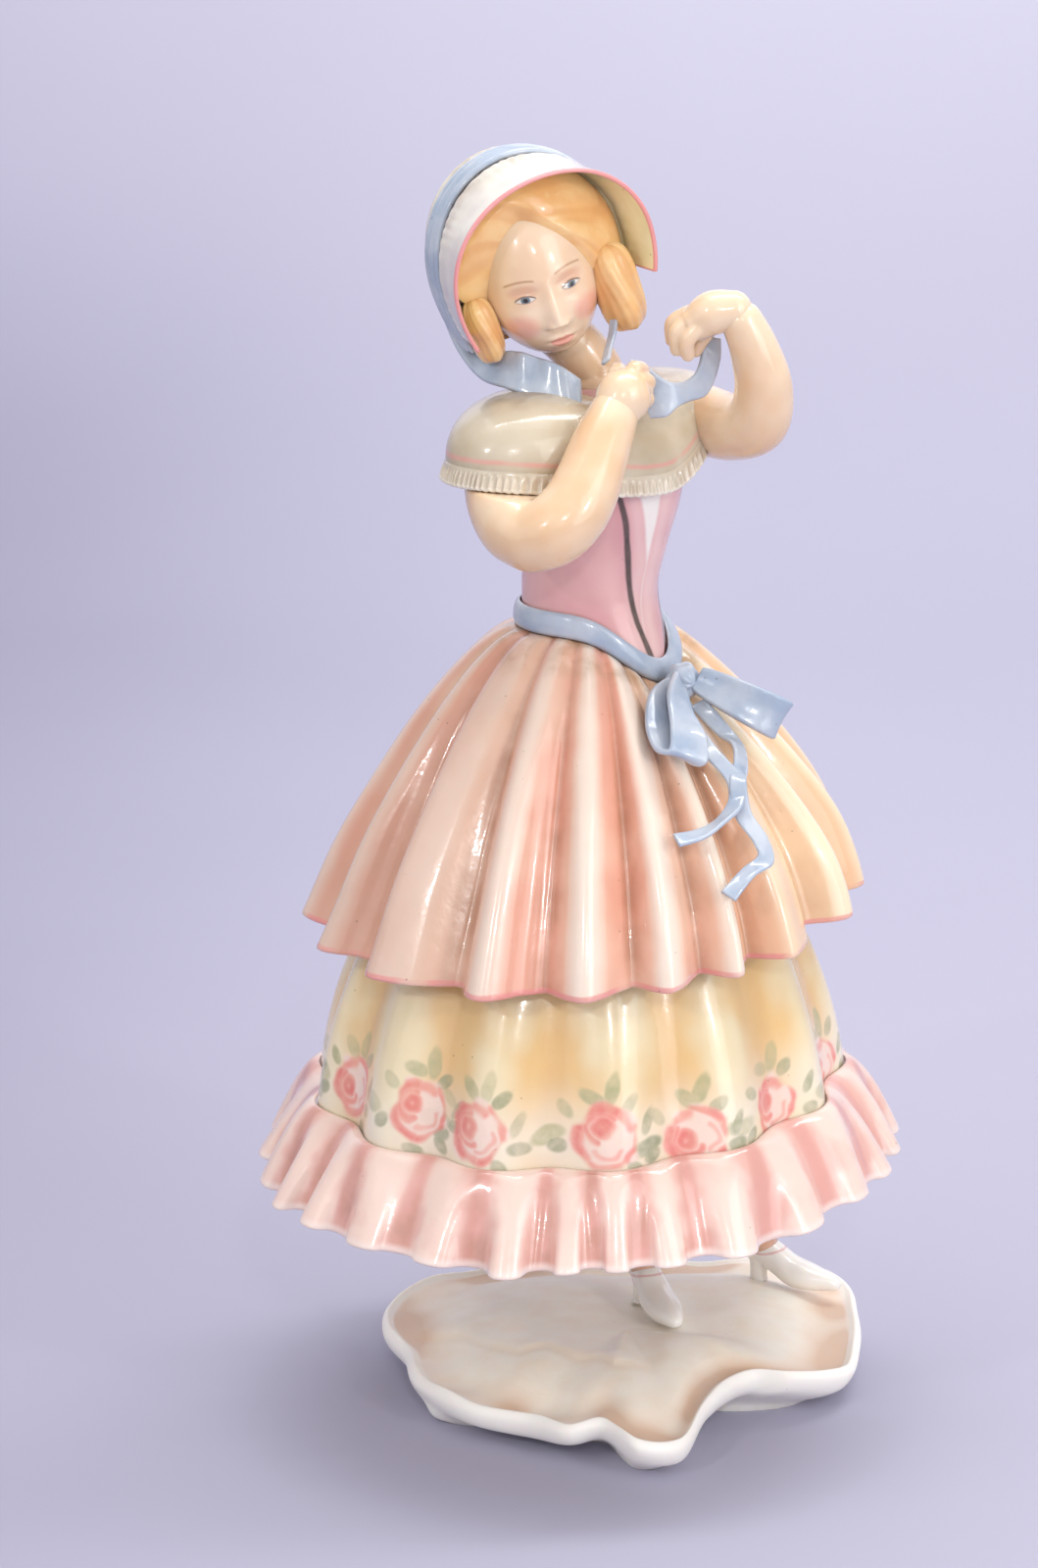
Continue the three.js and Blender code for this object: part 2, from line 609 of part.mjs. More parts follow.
function makeHangingLoop() {
  const path = [
    [-1, -18.6, -9.7], [-5.4, -20.4, -11.2], [-9.4, -24.6, -15], [-10.9, -28.4, -17.4],
    [-10.4, -30.6, -17.2], [-8.4, -29, -14], [-5.4, -24.4, -10.4], [-1.6, -20.8, -8.1],
  ];
  const [atKnot, leaving, hanging] = [[-0.3, 0.3, 0.9], [-0.6, 0.42, 0.68], [-0.75, 0.49, 0.37]];
  const lay = [atKnot, leaving, hanging, hanging, hanging, hanging, leaving, atKnot];
  return ribbon(path, lay, loopBreadth, 20);
}

// A loop that stands straight out from the knot: it runs out, turns over its far end and comes back beside
// itself.
const STANDING_LOOP = {
  from: [2.8, -19.2, -8.2],
  to: [10.8, -31.8, -14.8],
  lay: [-0.5, 0.18, -0.84],
  puff: 2.2,
};
function makeStandingLoop() {
  const start = V(...STANDING_LOOP.from);
  const along = V(...STANDING_LOOP.to).sub(start);
  const aside = along.clone().cross(V(...STANDING_LOOP.lay)).normalize();
  const out = [[0.06, 0.45], [0.35, 0.85], [0.65, 1], [0.88, 0.8]];
  const turned = out.map(([share, side]) => [share, -side]).reverse();
  const path = [...out, [1, 0], ...turned].map(([share, side]) =>
    start.clone().addScaledVector(along, share).addScaledVector(aside, side * STANDING_LOOP.puff).toArray(),
  );
  return ribbon(path, path.map(() => STANDING_LOOP.lay), loopBreadth, 22);
}

const TAIL_RIGHT_PATH = [
  [-1, -20.2, -11.9], [-3.2, -23.4, -14], [-3.2, -26.2, -15.8], [-4, -29.8, -17.8], [-3.2, -34.5, -21.9],
  [-5.5, -36.7, -24.8], [-9.1, -36.8, -27], [-13.1, -36.3, -28.4], [-17.1, -34.7, -29],
];
const TAIL_LEFT_PATH = [
  [2.4, -20.2, -12.3], [3.9, -25, -16.6], [3.8, -28.6, -18.4], [0.6, -32.2, -20.4], [-3.2, -35.1, -21.6],
  [-4.9, -37.8, -26.3], [-3.9, -40.8, -30.4], [-4.4, -42.4, -33], [-8.1, -42, -34.7], [-12.4, -41.7, -37.8],
];

function makeTail(path) {
  const clearance = SASH_TAIL_WIDTH / 2 + 2 * SEAT_GAP;
  const points = path.map((p) => clearOfOverskirt(V(...p), clearance));
  const lay = points.map((p) => around(THREE.MathUtils.radToDeg(Math.atan2(p.x, -p.y)), 1, 0.35).toArray());
  return ribbon(points.map((p) => p.toArray()), lay, SASH_TAIL_WIDTH, 24);
}

// Cape collar with its crimped edge, and the neck

function collarHem(turn) {
  const side = Math.sin(rad(turn + 6));
  const width = turnBetween(0, turn) < 0 ? COLLAR_HALF_WIDTH + 4.6 : COLLAR_HALF_WIDTH - 4.5;
  const radius = oval(turn, width, COLLAR_HALF_DEPTH, COLLAR_HALF_DEPTH - 1.5);
  const lift = side < 0 ? 3 * side ** 2 : 11.4 * side ** 2;
  return around(turn, radius, COLLAR_HEIGHT - COLLAR_DROP - 2.2 + lift);
}

function collarNeck(turn) {
  const radius = oval(turn, COLLAR_NECK_WIDTH, COLLAR_NECK_DEPTH, COLLAR_NECK_DEPTH);
  return around(turn, radius, COLLAR_HEIGHT - 1.5 + 3 * Math.sin(rad(turn)) ** 2);
}

function collarPoint(turn, share, wall = 0) {
  const [neck, hem] = [collarNeck(turn), collarHem(turn)];
  const full = Math.max(-Math.sin(rad(turn)), 0);
  const out = bell(share, 0.75 + 0.25 * full);
  const down = share ** (1.7 + 0.5 * full);
  const point = V(lerp(neck.x, hem.x, out), lerp(neck.y, hem.y, out), lerp(neck.z, hem.z, down));
  const inward = around(turn, wall * (0.35 + 0.65 * share), 0);
  return point.sub(inward).add(V(0, 0, -wall * (1 - share)));
}

// Evenly stepped angles crowd together over the shoulders, where the collar's edge curves most.
const collarTurn = (step) => step + 14 * Math.sin(rad(2 * step));

function makeCollar() {
  const angles = evenAngles(36).map(collarTurn);
  const outer = wrap((turn, share) => collarPoint(turn, share), angles, 4);
  const inner = wrap((turn, share) => collarPoint(turn, share, COLLAR_WALL), angles, 3);
  return shell(outer, inner);
}

function collarFrillPoint(step, share, wall = 0, crimp = COLLAR_FRILL_CRIMP) {
  const turn = collarTurn(step);
  const edge = collarPoint(turn, 1);
  const rib = crimp * share * Math.cos(rad(COLLAR_FRILL_RIBS * step));
  const out = around(turn, 0.25 + 0.8 * share + rib - wall, 0);
  return edge.add(out).add(V(0, 0, -SEAT_GAP - share * COLLAR_FRILL_WIDTH));
}

function makeCollarFrill() {
  const angles = evenAngles(COLLAR_FRILL_RIBS * 2);
  return shell(
    wrap((turn, share) => collarFrillPoint(turn, share), angles, 1),
    wrap((turn, share) => collarFrillPoint(turn, share, COLLAR_WALL), angles, 1),
  );
}

// The room taken by the collar and its edge, with the seat gap round it. A larger reach takes more outside.
function collarRoom(reach = SEAT_GAP) {
  const steps = evenAngles(36);
  const shares = [0, 0.25, 0.5, 0.75, 1];
  const face = (wall) => [
    ...shares.map((share) => steps.map((step) => collarPoint(collarTurn(step), share, wall))),
    steps.map((step) => {
      const turn = collarTurn(step);
      const margin = (COLLAR_FRILL_CRIMP + 0.25) * (wall > 0 ? -1 : 1);
      return collarFrillPoint(step, 1, wall, 0).add(around(turn, margin, -2 * SEAT_GAP));
    }),
  ];
  return shell(face(-reach), face(COLLAR_WALL + SEAT_GAP + 0.2));
}

// Arms and hands

const RIGHT_ELBOW = [-27.6, -12.6, 18.4];
const RIGHT_UPPER_ARM = [
  [-15.6, 2, 30], [-18.8, 1.2, 29.2], [-24.4, -3, 24.4], [-27.4, -8.6, 20], RIGHT_ELBOW,
];
const RIGHT_UPPER_RADII = [5.6, 6.2, 6.7, 6.6, 6];
const RIGHT_FOREARM = [
  RIGHT_ELBOW, [-26, -16, 20], [-22.6, -17.6, 23.5], [-15.9, -16.6, 32.5], [-12.2, -15.8, 37],
];
const RIGHT_FOREARM_RADII = [6, 6.1, 5.8, 4.8, 4];
const LEFT_ARM = [
  [15.2, -0.6, 31.5], [15.4, -3.4, 31.6], [14.8, -9.2, 31.5], [13.6, -17.7, 31.4], [12.7, -24, 33.5],
  [11.3, -26.4, 39.5], [8.8, -26.2, 46.5], [7.2, -25.2, 50.5],
];
const LEFT_ARM_RADII = [5.6, 5.9, 5.8, 5.5, 5.2, 4.7, 3.9, 3.4];

function makeHand(palm, palmRadii, fingers) {
  return join(limb(palm, palmRadii, 10, 3), ...fingers.map(([path, radii]) => limb(path, radii, 6, 3)));
}

const makeRightHand = () =>
  makeHand([[-11.8, -15.8, 37.4], [-9.9, -15.8, 39.4], [-7.8, -15.4, 40.2]], [3.9, 4.5, 3.6], [
    [[[-8.2, -16.4, 43.4], [-5.6, -15.2, 42.6], [-5.2, -13.6, 40.6]], [1.5, 1.5, 1.3]],
    [[[-8.4, -17.6, 41.6], [-5.8, -16.8, 41], [-5, -15, 39.4]], [1.5, 1.5, 1.3]],
    [[[-9.2, -18, 39.4], [-6.8, -17.6, 38.6], [-6, -15.8, 37.6]], [1.4, 1.4, 1.2]],
    [[[-9.4, -13.4, 42.2], [-7.6, -12.2, 42.6], [-6, -12.2, 41.6]], [1.5, 1.4, 1.2]],
  ]);

const makeLeftHand = () =>
  makeHand([[6.4, -24.4, 52.2], [4.2, -21.6, 51.6], [2.8, -19.6, 50]], [3.2, 3.6, 3], [
    [[[2.8, -18, 51.4], [1.4, -15.8, 49.6], [1.6, -15.4, 46.8]], [1.4, 1.4, 1.2]],
    [[[1.8, -19.4, 50.6], [0.2, -17.8, 48.6], [0.8, -17.2, 45.6]], [1.4, 1.4, 1.2]],
    [[[1.6, -21, 49.6], [0.4, -19.8, 47.4], [1.4, -19, 44.8]], [1.4, 1.3, 1.1]],
    [[[4.4, -20.4, 48.6], [4.4, -18.8, 46.6], [4.2, -18, 45]], [1.4, 1.3, 1.1]],
  ]);

// Head, hair and bonnet, built round the middle of the head with the face towards -Y

function headShape(d) {
  const low = Math.max(-d.z, 0);
  const face = Math.max(-d.y, 0);
  const jaw = 1 - 0.2 * low ** 1.5 * (1 - 0.35 * face);
  const chin = 0.05 * bump(d.z, -0.86, 0.2) * face;
  const nose = 0.17 * bump(d.z, -0.3, 0.15) * bump(d.x, 0, 0.14) * face;
  const eyes = -0.05 * bump(d.z, 0.05, 0.12) * bump(Math.abs(d.x), 0.36, 0.2) * face;
  return jaw + chin + nose + eyes;
}

const HEAD_HALF = [HEAD_HALF_WIDTH, HEAD_HALF_DEPTH, HEAD_HALF_HEIGHT];
const makeHead = () => egg([0, 0, 0], HEAD_HALF, 24, 16, headShape);

// The room taken by the head, with the seat gap round it.
const headRoom = () => egg([0, 0, 0], HEAD_HALF.map((half) => half + SEAT_GAP + 0.2), 18, 10);

// The outer shape of the hair, which ends above the nape.
function hairCap(gap) {
  const half = HEAD_HALF.map((size, i) => size + gap + HAIR_THICKNESS * (i === 2 ? 0.5 : 1));
  const cap = egg([0, 0.2, 0], half, 22, 12, (d) => 1 - 0.14 * Math.max(-d.z, 0));
  return carve(cap, new THREE.BoxGeometry(40, 40, 12).translate(0, 0, -14.5 - gap));
}

const makeHair = () => carve(hairCap(0), headRoom(), egg([0, -12.5, -4], [9.4, 10.5, 16.4], 18, 9));

const ringletShape = (turns) => (d) => 1 + 0.07 * Math.cos(2 * Math.PI * turns * (d.z + 0.12 * d.x));
const makeLeftRinglet = () => egg([11.4, -4.4, -5], [4, 4.4, 8], 11, 10, ringletShape(2.5));
const makeRightRinglet = () => egg([-11.2, -4.4, -4], [2.8, 3.6, 6], 10, 9, ringletShape(2));

// The bonnet's axis runs from its crown forwards; turn 0 is its top.
const BONNET_SEAT = V(0, 0, 3.3);
function bonnetPoint(turn, radius, forward) {
  const side = Math.sin(rad(turn));
  const across = Math.cos(rad(turn)) < 0 ? Math.sign(side) * Math.sqrt(Math.abs(side)) : side;
  return V(radius * across, -forward, radius * Math.cos(rad(turn)) * BONNET_TALL).add(BONNET_SEAT);
}

// The crown is a dome that opens forwards. Its rings run round the axis, from the rim to the back.
function makeCrown() {
  const ring = (share, wall) =>
    evenAngles(24).map((turn) => {
      const deep = Math.sin((share * Math.PI) / 2);
      const puff = CROWN_PUFF * smooth(share, 0.19, 0.29) * (0.4 + 0.6 * Math.max(Math.cos(rad(turn)), 0));
      const round = Math.cos((share * Math.PI) / 2) ** 0.6 * (1 + puff);
      return bonnetPoint(turn, (BONNET_RADIUS - wall) * round, -CROWN_START - (CROWN_DEPTH - wall) * deep);
    });
  const outer = [0, 0.19, 0.3, 0.52, 0.76, 0.92].map((share) => ring(share, 0));
  const inner = [0, 0.3, 0.6, 0.9].map((share) => ring(share, BONNET_WALL));
  const nape = new THREE.BoxGeometry(60, 60, 30).translate(0, 0, -23);
  return carve(skin([...inner.reverse(), ...outer]), nape);
}

function makeBand() {
  const reach = BONNET_RADIUS + RIBBON_THICKNESS / 2 + SEAT_GAP;
  const point = (u, v) =>
    bonnetPoint(lerp(-128, 128, u), reach, -CROWN_START - BONNET_BAND_WIDTH * (1 - v));
  return sheet(point, 24, 1, RIBBON_THICKNESS);
}

function makeBrim() {
  const point = (u, v) => {
    const turn = lerp(-BRIM_SPREAD, BRIM_SPREAD, u);
    const edge = lerp(BRIM_TOP_RADIUS, BRIM_SIDE_RADIUS, Math.sin(rad(turn)) ** 2);
    const radius = lerp(BONNET_RADIUS - BONNET_WALL / 2, edge, v ** 0.8);
    const forward = BRIM_REACH * v - 3 * v * (turn / BRIM_SPREAD) ** 2;
    return bonnetPoint(turn, radius, forward + SEAT_GAP + 0.3 - CROWN_START);
  };
  return sheet(point, 24, 3, BONNET_WALL);
}

// Bonnet ribbons, drawn between an upper and a lower edge

function between(upper, lower, columns, rows = 1) {
  const [top, bottom] = [curveThrough(upper), curveThrough(lower)];
  return sheet((u, v) => top.getPoint(u).lerp(bottom.getPoint(u), v), columns, rows, RIBBON_THICKNESS);
}

const TIE_RIGHT_UPPER = [
  [-13.4, 16.6, 50.6], [-14.6, 12.8, 46.6], [-15.2, 8.5, 43.9], [-15, 4.1, 44.3], [-14.2, 0.3, 43.8],
  [-12.4, -3.8, 42.6], [-11.4, -7.2, 40.8],
];
const TIE_RIGHT_LOWER = [
  [-16.6, 18.6, 49.6], [-17.6, 13.5, 43.8], [-17.3, 8.9, 40.2], [-17.3, 3.1, 39.4], [-15.9, -1.1, 38.2],
  [-13.8, -6, 35.8], [-12.4, -9, 35.4],
];
const makeTieRight = () => between(TIE_RIGHT_UPPER, TIE_RIGHT_LOWER, 14);

const TIE_LEFT_PATH = [[-2.2, -6, 50.2], [-3.9, -7.4, 48], [-7.4, -9.6, 45.2], [-9.2, -11, 44.2]];
const makeTieLeft = () =>
  ribbon(TIE_LEFT_PATH, TIE_LEFT_PATH.map(() => [0.4, -0.6, 0.7]), TIE_STRAND_WIDTH, 8);

const TIE_LOOP_UPPER = [
  [-5.6, -13.2, 44], [-4.6, -15.6, 43], [-2.5, -18.7, 40.6], [0.7, -19.1, 40.3], [3.4, -19.2, 41.6],
  [5.6, -18.6, 45], [6.2, -18.4, 47.4],
];
const TIE_LOOP_LOWER = [
  [-5.2, -16.9, 35.6], [-3.6, -18.9, 36], [-1.7, -19.5, 37.3], [0.9, -19.6, 37.9], [4.6, -20, 38.6],
  [7.4, -20, 43.6], [7.6, -19.8, 47],
];
const makeTieLoop = () => between(TIE_LOOP_UPPER, TIE_LOOP_LOWER, 18);

// Assembly

const GLAZES = {
  white: 0xf4f1ea,
  cream: 0xefe6d2,
  skin: 0xf2dcc4,
  blush: 0xe9b8a6,
  pink: 0xe3a2a6,
  blue: 0x9db4d3,
  blonde: 0xe8bd78,
  rose: 0xd898ac,
};

function piece(name, geometry, glaze) {
  const material = new THREE.MeshStandardMaterial({ color: GLAZES[glaze], roughness: 0.15, metalness: 0 });
  const mesh = new THREE.Mesh(geometry, material);
  mesh.name = name;
  return mesh;
}

const figure = new THREE.Group();
figure.name = "figure";
figure.position.z = WAIST_HEIGHT;
figure.rotation.z = rad(FIGURE_TURN);

// Head pieces are placed in the figure's own frame, so that neighbours can be cut back to them.
const headTilt = new THREE.Euler(rad(HEAD_NOD), rad(HEAD_LEAN), rad(HEAD_TURN), "YXZ");
const headPlace = new THREE.Matrix4()
  .makeRotationZ(-rad(FIGURE_TURN))
  .multiply(new THREE.Matrix4().makeRotationFromEuler(headTilt))
  .setPosition(...HEAD_CENTRE);

// The skirts are made first, because the legs stand inside them.
const inPlace = (geometry) => geometry.clone().rotateZ(rad(FIGURE_TURN)).translate(0, 0, WAIST_HEIGHT);
const underskirt = makeUnderskirt();
const overskirt = makeOverskirt();
const frill = seat(makeFrill(), underskirt);
const collar = makeCollar();
const bodice = carve(makeBodice(), collarRoom(), grown(collar));

const base = makeBase();
const rightShoe = seat(makeShoe(RIGHT_SHOE), base);
const leftShoe = seat(makeShoe(LEFT_SHOE), base);
const rightLeg = seat(makeLeg(RIGHT_SHOE, -1), rightShoe, inPlace(underskirt));
const leftLeg = seat(makeLeg(LEFT_SHOE, 1), leftShoe, rightLeg, inPlace(underskirt));

const sashBand = makeSashBand();
const knot = seat(makeKnot(), sashBand, overskirt);
const hangingLoop = seat(makeHangingLoop(), knot, sashBand, overskirt);
const standingLoop = seat(makeStandingLoop(), knot, sashBand, overskirt);
const tailRight = seat(makeTail(TAIL_RIGHT_PATH), knot, hangingLoop, overskirt);
const tailLeft = seat(makeTail(TAIL_LEFT_PATH), knot, hangingLoop, standingLoop, tailRight, overskirt);

const collarFrill = makeCollarFrill();
const wholeRightArm = join(
  carve(limb(RIGHT_UPPER_ARM, RIGHT_UPPER_RADII, 12, 7), collarRoom(7)),
  limb(RIGHT_FOREARM, RIGHT_FOREARM_RADII, 12, 8),
);
const rightArm = carve(wholeRightArm, grown(bodice), collarRoom());
const leftArm = carve(limb(LEFT_ARM, LEFT_ARM_RADII, 12, 12), grown(bodice), collarRoom());
const rightHand = carve(makeRightHand(), grown(rightArm), collarRoom());
const leftHand = carve(makeLeftHand(), grown(leftArm), collarRoom());

const head = makeHead();
const bonnet = [makeCrown(), makeBrim(), makeBand()].map((part) => part.rotateZ(rad(BONNET_TURN)));
const [crown, brim, band] = bonnet;
const hair = seat(makeHair(), ...bonnet);
const leftRinglet = carve(seat(makeLeftRinglet(), ...bonnet), headRoom(), hairCap(SEAT_GAP));
const rightRinglet = carve(seat(makeRightRinglet(), ...bonnet), headRoom(), hairCap(SEAT_GAP));
for (const part of [head, hair, crown, brim, band, leftRinglet, rightRinglet]) part.applyMatrix4(headPlace);

const neckTop = V(0, 1.5, -9).applyMatrix4(headPlace).toArray();
const neck = carve(
  limb(
    [
      [0, 0.6, NECK_BASE_HEIGHT + SEAT_GAP],
      [0, 0.6, NECK_BASE_HEIGHT + 2],
      [-1.6, 1.6, NECK_BASE_HEIGHT + 5],
      neckTop,
    ],
    [NECK_RADIUS + 1.2, NECK_RADIUS + 0.3, NECK_RADIUS, NECK_RADIUS],
    12,
    4,
    false,
  ),
  headRoom().applyMatrix4(headPlace),
);
const tieNeighbours = [rightRinglet, rightArm, rightHand, band, crown].map((part) => grown(part));
const tieRight = carve(makeTieRight(), collarRoom(), ...tieNeighbours);
const tieLeft = seat(makeTieLeft(), rightHand, leftRinglet);
const tieLoop = seat(makeTieLoop(), rightHand, leftHand);

const root = new THREE.Group();
root.name = "peasant_figurine";
root.add(
  piece("base", base, "white"),
  piece("right_shoe", rightShoe, "white"),
  piece("left_shoe", leftShoe, "white"),
  piece("right_leg", rightLeg, "blush"),
  piece("left_leg", leftLeg, "blush"),
  figure,
);
figure.add(
  piece("underskirt", underskirt, "cream"),
  piece("overskirt", overskirt, "blush"),
  piece("hem_frill", frill, "pink"),
  piece("bodice", bodice, "rose"),
  piece("sash_band", sashBand, "blue"),
  piece("sash_knot", knot, "blue"),
  piece("bow_loop_right", hangingLoop, "blue"),
  piece("bow_loop_left", standingLoop, "blue"),
  piece("sash_tail_right", tailRight, "blue"),
  piece("sash_tail_left", tailLeft, "blue"),
  piece("cape_collar", collar, "cream"),
  piece("collar_frill", collarFrill, "cream"),
  piece("right_arm", rightArm, "skin"),
  piece("right_hand", rightHand, "skin"),
  piece("left_arm", leftArm, "skin"),
  piece("left_hand", leftHand, "skin"),
  piece("neck", neck, "skin"),
  piece("head", head, "skin"),
  piece("hair", hair, "blonde"),
  piece("right_ringlet", rightRinglet, "blonde"),
  piece("left_ringlet", leftRinglet, "blonde"),
  piece("bonnet_crown", crown, "cream"),
  piece("bonnet_brim", brim, "cream"),
  piece("bonnet_band", band, "blue"),
  piece("bonnet_tie_right", tieRight, "blue"),
  piece("bonnet_tie_left", tieLeft, "blue"),
  piece("tie_loop", tieLoop, "blue"),
);

export default root;
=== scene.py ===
import math

import bpy
import numpy as np
from mathutils import Matrix, Vector


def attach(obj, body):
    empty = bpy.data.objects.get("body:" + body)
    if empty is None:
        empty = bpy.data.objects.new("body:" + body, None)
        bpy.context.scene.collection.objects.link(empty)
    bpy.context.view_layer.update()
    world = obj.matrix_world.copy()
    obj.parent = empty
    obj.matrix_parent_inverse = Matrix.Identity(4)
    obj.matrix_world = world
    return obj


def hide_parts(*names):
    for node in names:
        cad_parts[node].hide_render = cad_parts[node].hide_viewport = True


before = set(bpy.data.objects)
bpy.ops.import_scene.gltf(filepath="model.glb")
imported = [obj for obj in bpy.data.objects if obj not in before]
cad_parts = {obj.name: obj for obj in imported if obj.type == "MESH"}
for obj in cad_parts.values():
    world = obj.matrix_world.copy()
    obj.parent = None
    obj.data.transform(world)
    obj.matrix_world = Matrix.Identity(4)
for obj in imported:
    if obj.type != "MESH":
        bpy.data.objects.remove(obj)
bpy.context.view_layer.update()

# Sizes are in millimetres and degrees, in the figure's own frame: the waist is at height 0, the front is -Y,
# and her left is +X. The figure is turned on its base and lifted by the waist's height.

MM = 0.001
WAIST_HEIGHT = 139.3
FIGURE_TURN = 45
SEAT_GAP = 0.3

BASE_RIM_HEIGHT = 6.4
BASE_LIP_RISE = 1.1
BASE_MOUND_RISE = 4.2
BASE_CENTRE = (6, 5)
# The rim's outline from above, with how far the rim rises above its own height there.
BASE_OUTLINE = [
    (47, 20, 2), (46, 31, 2.3), (37, 42, 2.3), (22, 44, 2.2), (5, 43, 1.9), (-12, 42, 1.8), (-27, 37.5, 1.6),
    (-35, 28, 1), (-36.5, 16, 0.5), (-32.5, 4, 0.3), (-30.5, -8, 0.2), (-22, -19.5, 0), (-11, -25, -0.4),
    (-4.5, -30.5, 0.7), (1, -30.5, 1.8), (7, -37.5, 0.8), (14, -35.5, -0.4), (19.5, -23, 2.2), (27, -12.5, 2.5),
    (34, -12.5, 3), (43.5, -5, 0.4), (46.7, 8, 1),
]
# Each foot's angle and how far it stands in from the rim.
BASE_FEET = [(-150, 7), (-66, 3.8), (5, 7), (78, 9), (140, 7)]
BASE_FOOT_SPREAD = 15
DISH_HEIGHT = BASE_RIM_HEIGHT + 1 + BASE_MOUND_RISE

SHOE_LENGTH = 18
SHOE_WIDTH = 6.4
SHOE_HEEL_HEIGHT = 6
RIGHT_SHOE = {"toe": (14.7, 1.2), "heading": 22, "sink": 0}
LEFT_SHOE = {"toe": (44, 23), "heading": 65, "sink": 1.2}
ANKLE_RADIUS = 2.5
CALF_RADIUS = 4
HIP_SPREAD = 5.2

WAIST_RADIUS = 11.2
WAIST_SHIFT = (-0.9, 0.9)
WAIST_FLARE = 2.4
WAIST_FLARE_SIDE = 62
BODICE_TURN = 14
SASH_WIDTH = 4
SASH_THICKNESS = 0.9
SASH_FLARE = 1.1
BASQUE_REACH = 2.8
BASQUE_DROP = 8.2

OVERSKIRT_LENGTH = 48.5
OVERSKIRT_TILT = 4.8
SKIRT_HIGH_SIDE = 100
OVERSKIRT_RADIUS = 44.8
SKIRT_DRIFT = (-1.8, 1.8)
SKIRT_DRIFT_DROP = 88
OVERSKIRT_WALL = 1.5
OVERSKIRT_FOLD = 2.2
OVERSKIRT_CRESTS = [-134, -113, -93, -66, -45, -28, -13, 1, 25, 43, 64, 86, 108, 130, 151, 172, 197]

UNDERSKIRT_TOP_DROP = 13.5
UNDERSKIRT_LENGTH = 72.2
UNDERSKIRT_TOP_RADIUS = 12.5
UNDERSKIRT_RADIUS = 43.8
UNDERSKIRT_WALL = 1.8
UNDERSKIRT_FOLD = 1.5
UNDERSKIRT_FOLDS = 13
UNDERSKIRT_TILT = 3.4

FRILL_OVERLAP = 6
FRILL_DEPTH = 13.2
FRILL_RADIUS = 53.2
FRILL_WALL = 1.2
FRILL_FOLD = 1.9
FRILL_FOLDS = 29

BODICE_HEIGHT = 29
BUST_WIDTH = 15.6
BUST_DEPTH = 14
BACK_DEPTH = 11
NECK_RADIUS = 4.5
NECK_BASE_HEIGHT = 38

COLLAR_HEIGHT = 37.5
COLLAR_DROP = 9.6
COLLAR_WALL = 1.3
COLLAR_HALF_WIDTH = 26.5
COLLAR_HALF_DEPTH = 16.5
COLLAR_NECK_WIDTH = 12
COLLAR_NECK_DEPTH = 9
COLLAR_FRILL_WIDTH = 2.6
COLLAR_FRILL_RIBS = 50

HEAD_CENTRE = (-9.1, 4.7, 56.2)
HEAD_NOD = 10
HEAD_LEAN = -18
HEAD_TURN = 8
HEAD_HALF = (9.9, 11.2, 15.1)
HAIR_THICKNESS = 1.5
BONNET_WALL = 1.2
BONNET_BAND_WIDTH = 4.5
BONNET_RADIUS = 15.2
BONNET_TALL = 1.1
BONNET_TURN = 12
BONNET_LIFT = 3.3
CROWN_DEPTH = 17
CROWN_PUFF = 0.12
BRIM_TOP_RADIUS = 14.4
BRIM_SIDE_RADIUS = 17.4
BRIM_REACH = 12
BRIM_SPREAD = 114

RIBBON_THICKNESS = 1
SASH_RIBBON_WIDTH = 6
SASH_TAIL_WIDTH = 2.6
TIE_STRAND_WIDTH = 1.4

# Numbers


def smoothstep(value, low, high):
    share = np.clip((value - low) / (high - low), 0, 1)
    return share * share * (3 - 2 * share)


def bump(value, centre, spread):
    return np.exp(-(((value - centre) / spread) ** 2))


def lerp(start, end, share):
    return start + (end - start) * share


def cosd(angle):
    return np.cos(np.radians(angle))


def sind(angle):
    return np.sin(np.radians(angle))


def turn_between(start, end):
    return (end - start + 180) % 360 - 180


def xyz(x, y, z):
    return np.stack(np.broadcast_arrays(x, y, z), -1).astype(float)


def around(turn, radius, z):
    """Points at an angle round the figure: 0 degrees is the front and 90 is her left."""
    return xyz(radius * sind(turn), -radius * cosd(turn), z)


def unit(vectors):
    return vectors / np.maximum(np.linalg.norm(vectors, axis=-1, keepdims=True), 1e-9)


def curve_through(points, shares, closed=False):
    """A centripetal curve through points, or through whole rows of points, at shares of its length."""
    points = np.asarray(points, float)
    count = len(points)
    place = np.asarray(shares, float) * (count if closed else count - 1)
    first = np.floor(place).astype(int)
    if not closed:
        first = np.clip(first, 0, count - 2)
        points = np.concatenate([[2 * points[0] - points[1]], points, [2 * points[-1] - points[-2]]])
        picks = [points[first + k] for k in range(4)]
    else:
        picks = [points[(first + k - 1) % count] for k in range(4)]
    weight = (place - first).reshape((-1,) + (1,) * (points.ndim - 1))
    before, start, end, after = picks
    gaps = [np.linalg.norm(b - a, axis=-1, keepdims=True) ** 0.5 for a, b in zip(picks, picks[1:])]
    middle = np.maximum(gaps[1], 1e-4)
    near = np.where(gaps[0] < 1e-4, middle, gaps[0])
    far = np.where(gaps[2] < 1e-4, middle, gaps[2])
    leave = (start - before) / near - (end - before) / (near + middle) + (end - start) / middle
    reach = (end - start) / middle - (after - start) / (middle + far) + (after - end) / far
    leave, reach = leave * middle, reach * middle
    square, cube = weight**2, weight**3
    return (
        start
        + leave * weight
        + (3 * (end - start) - 2 * leave - reach) * square
        + (2 * (start - end) + leave + reach) * cube
    )


def even_shares(curve, count):
    """Shares of a sampled curve that are evenly spaced along its length."""
    lengths = np.concatenate([[0], np.cumsum(np.linalg.norm(np.diff(curve, axis=0), axis=-1))])
    return np.interp(np.linspace(0, lengths[-1], count), lengths, np.linspace(0, 1, len(curve)))


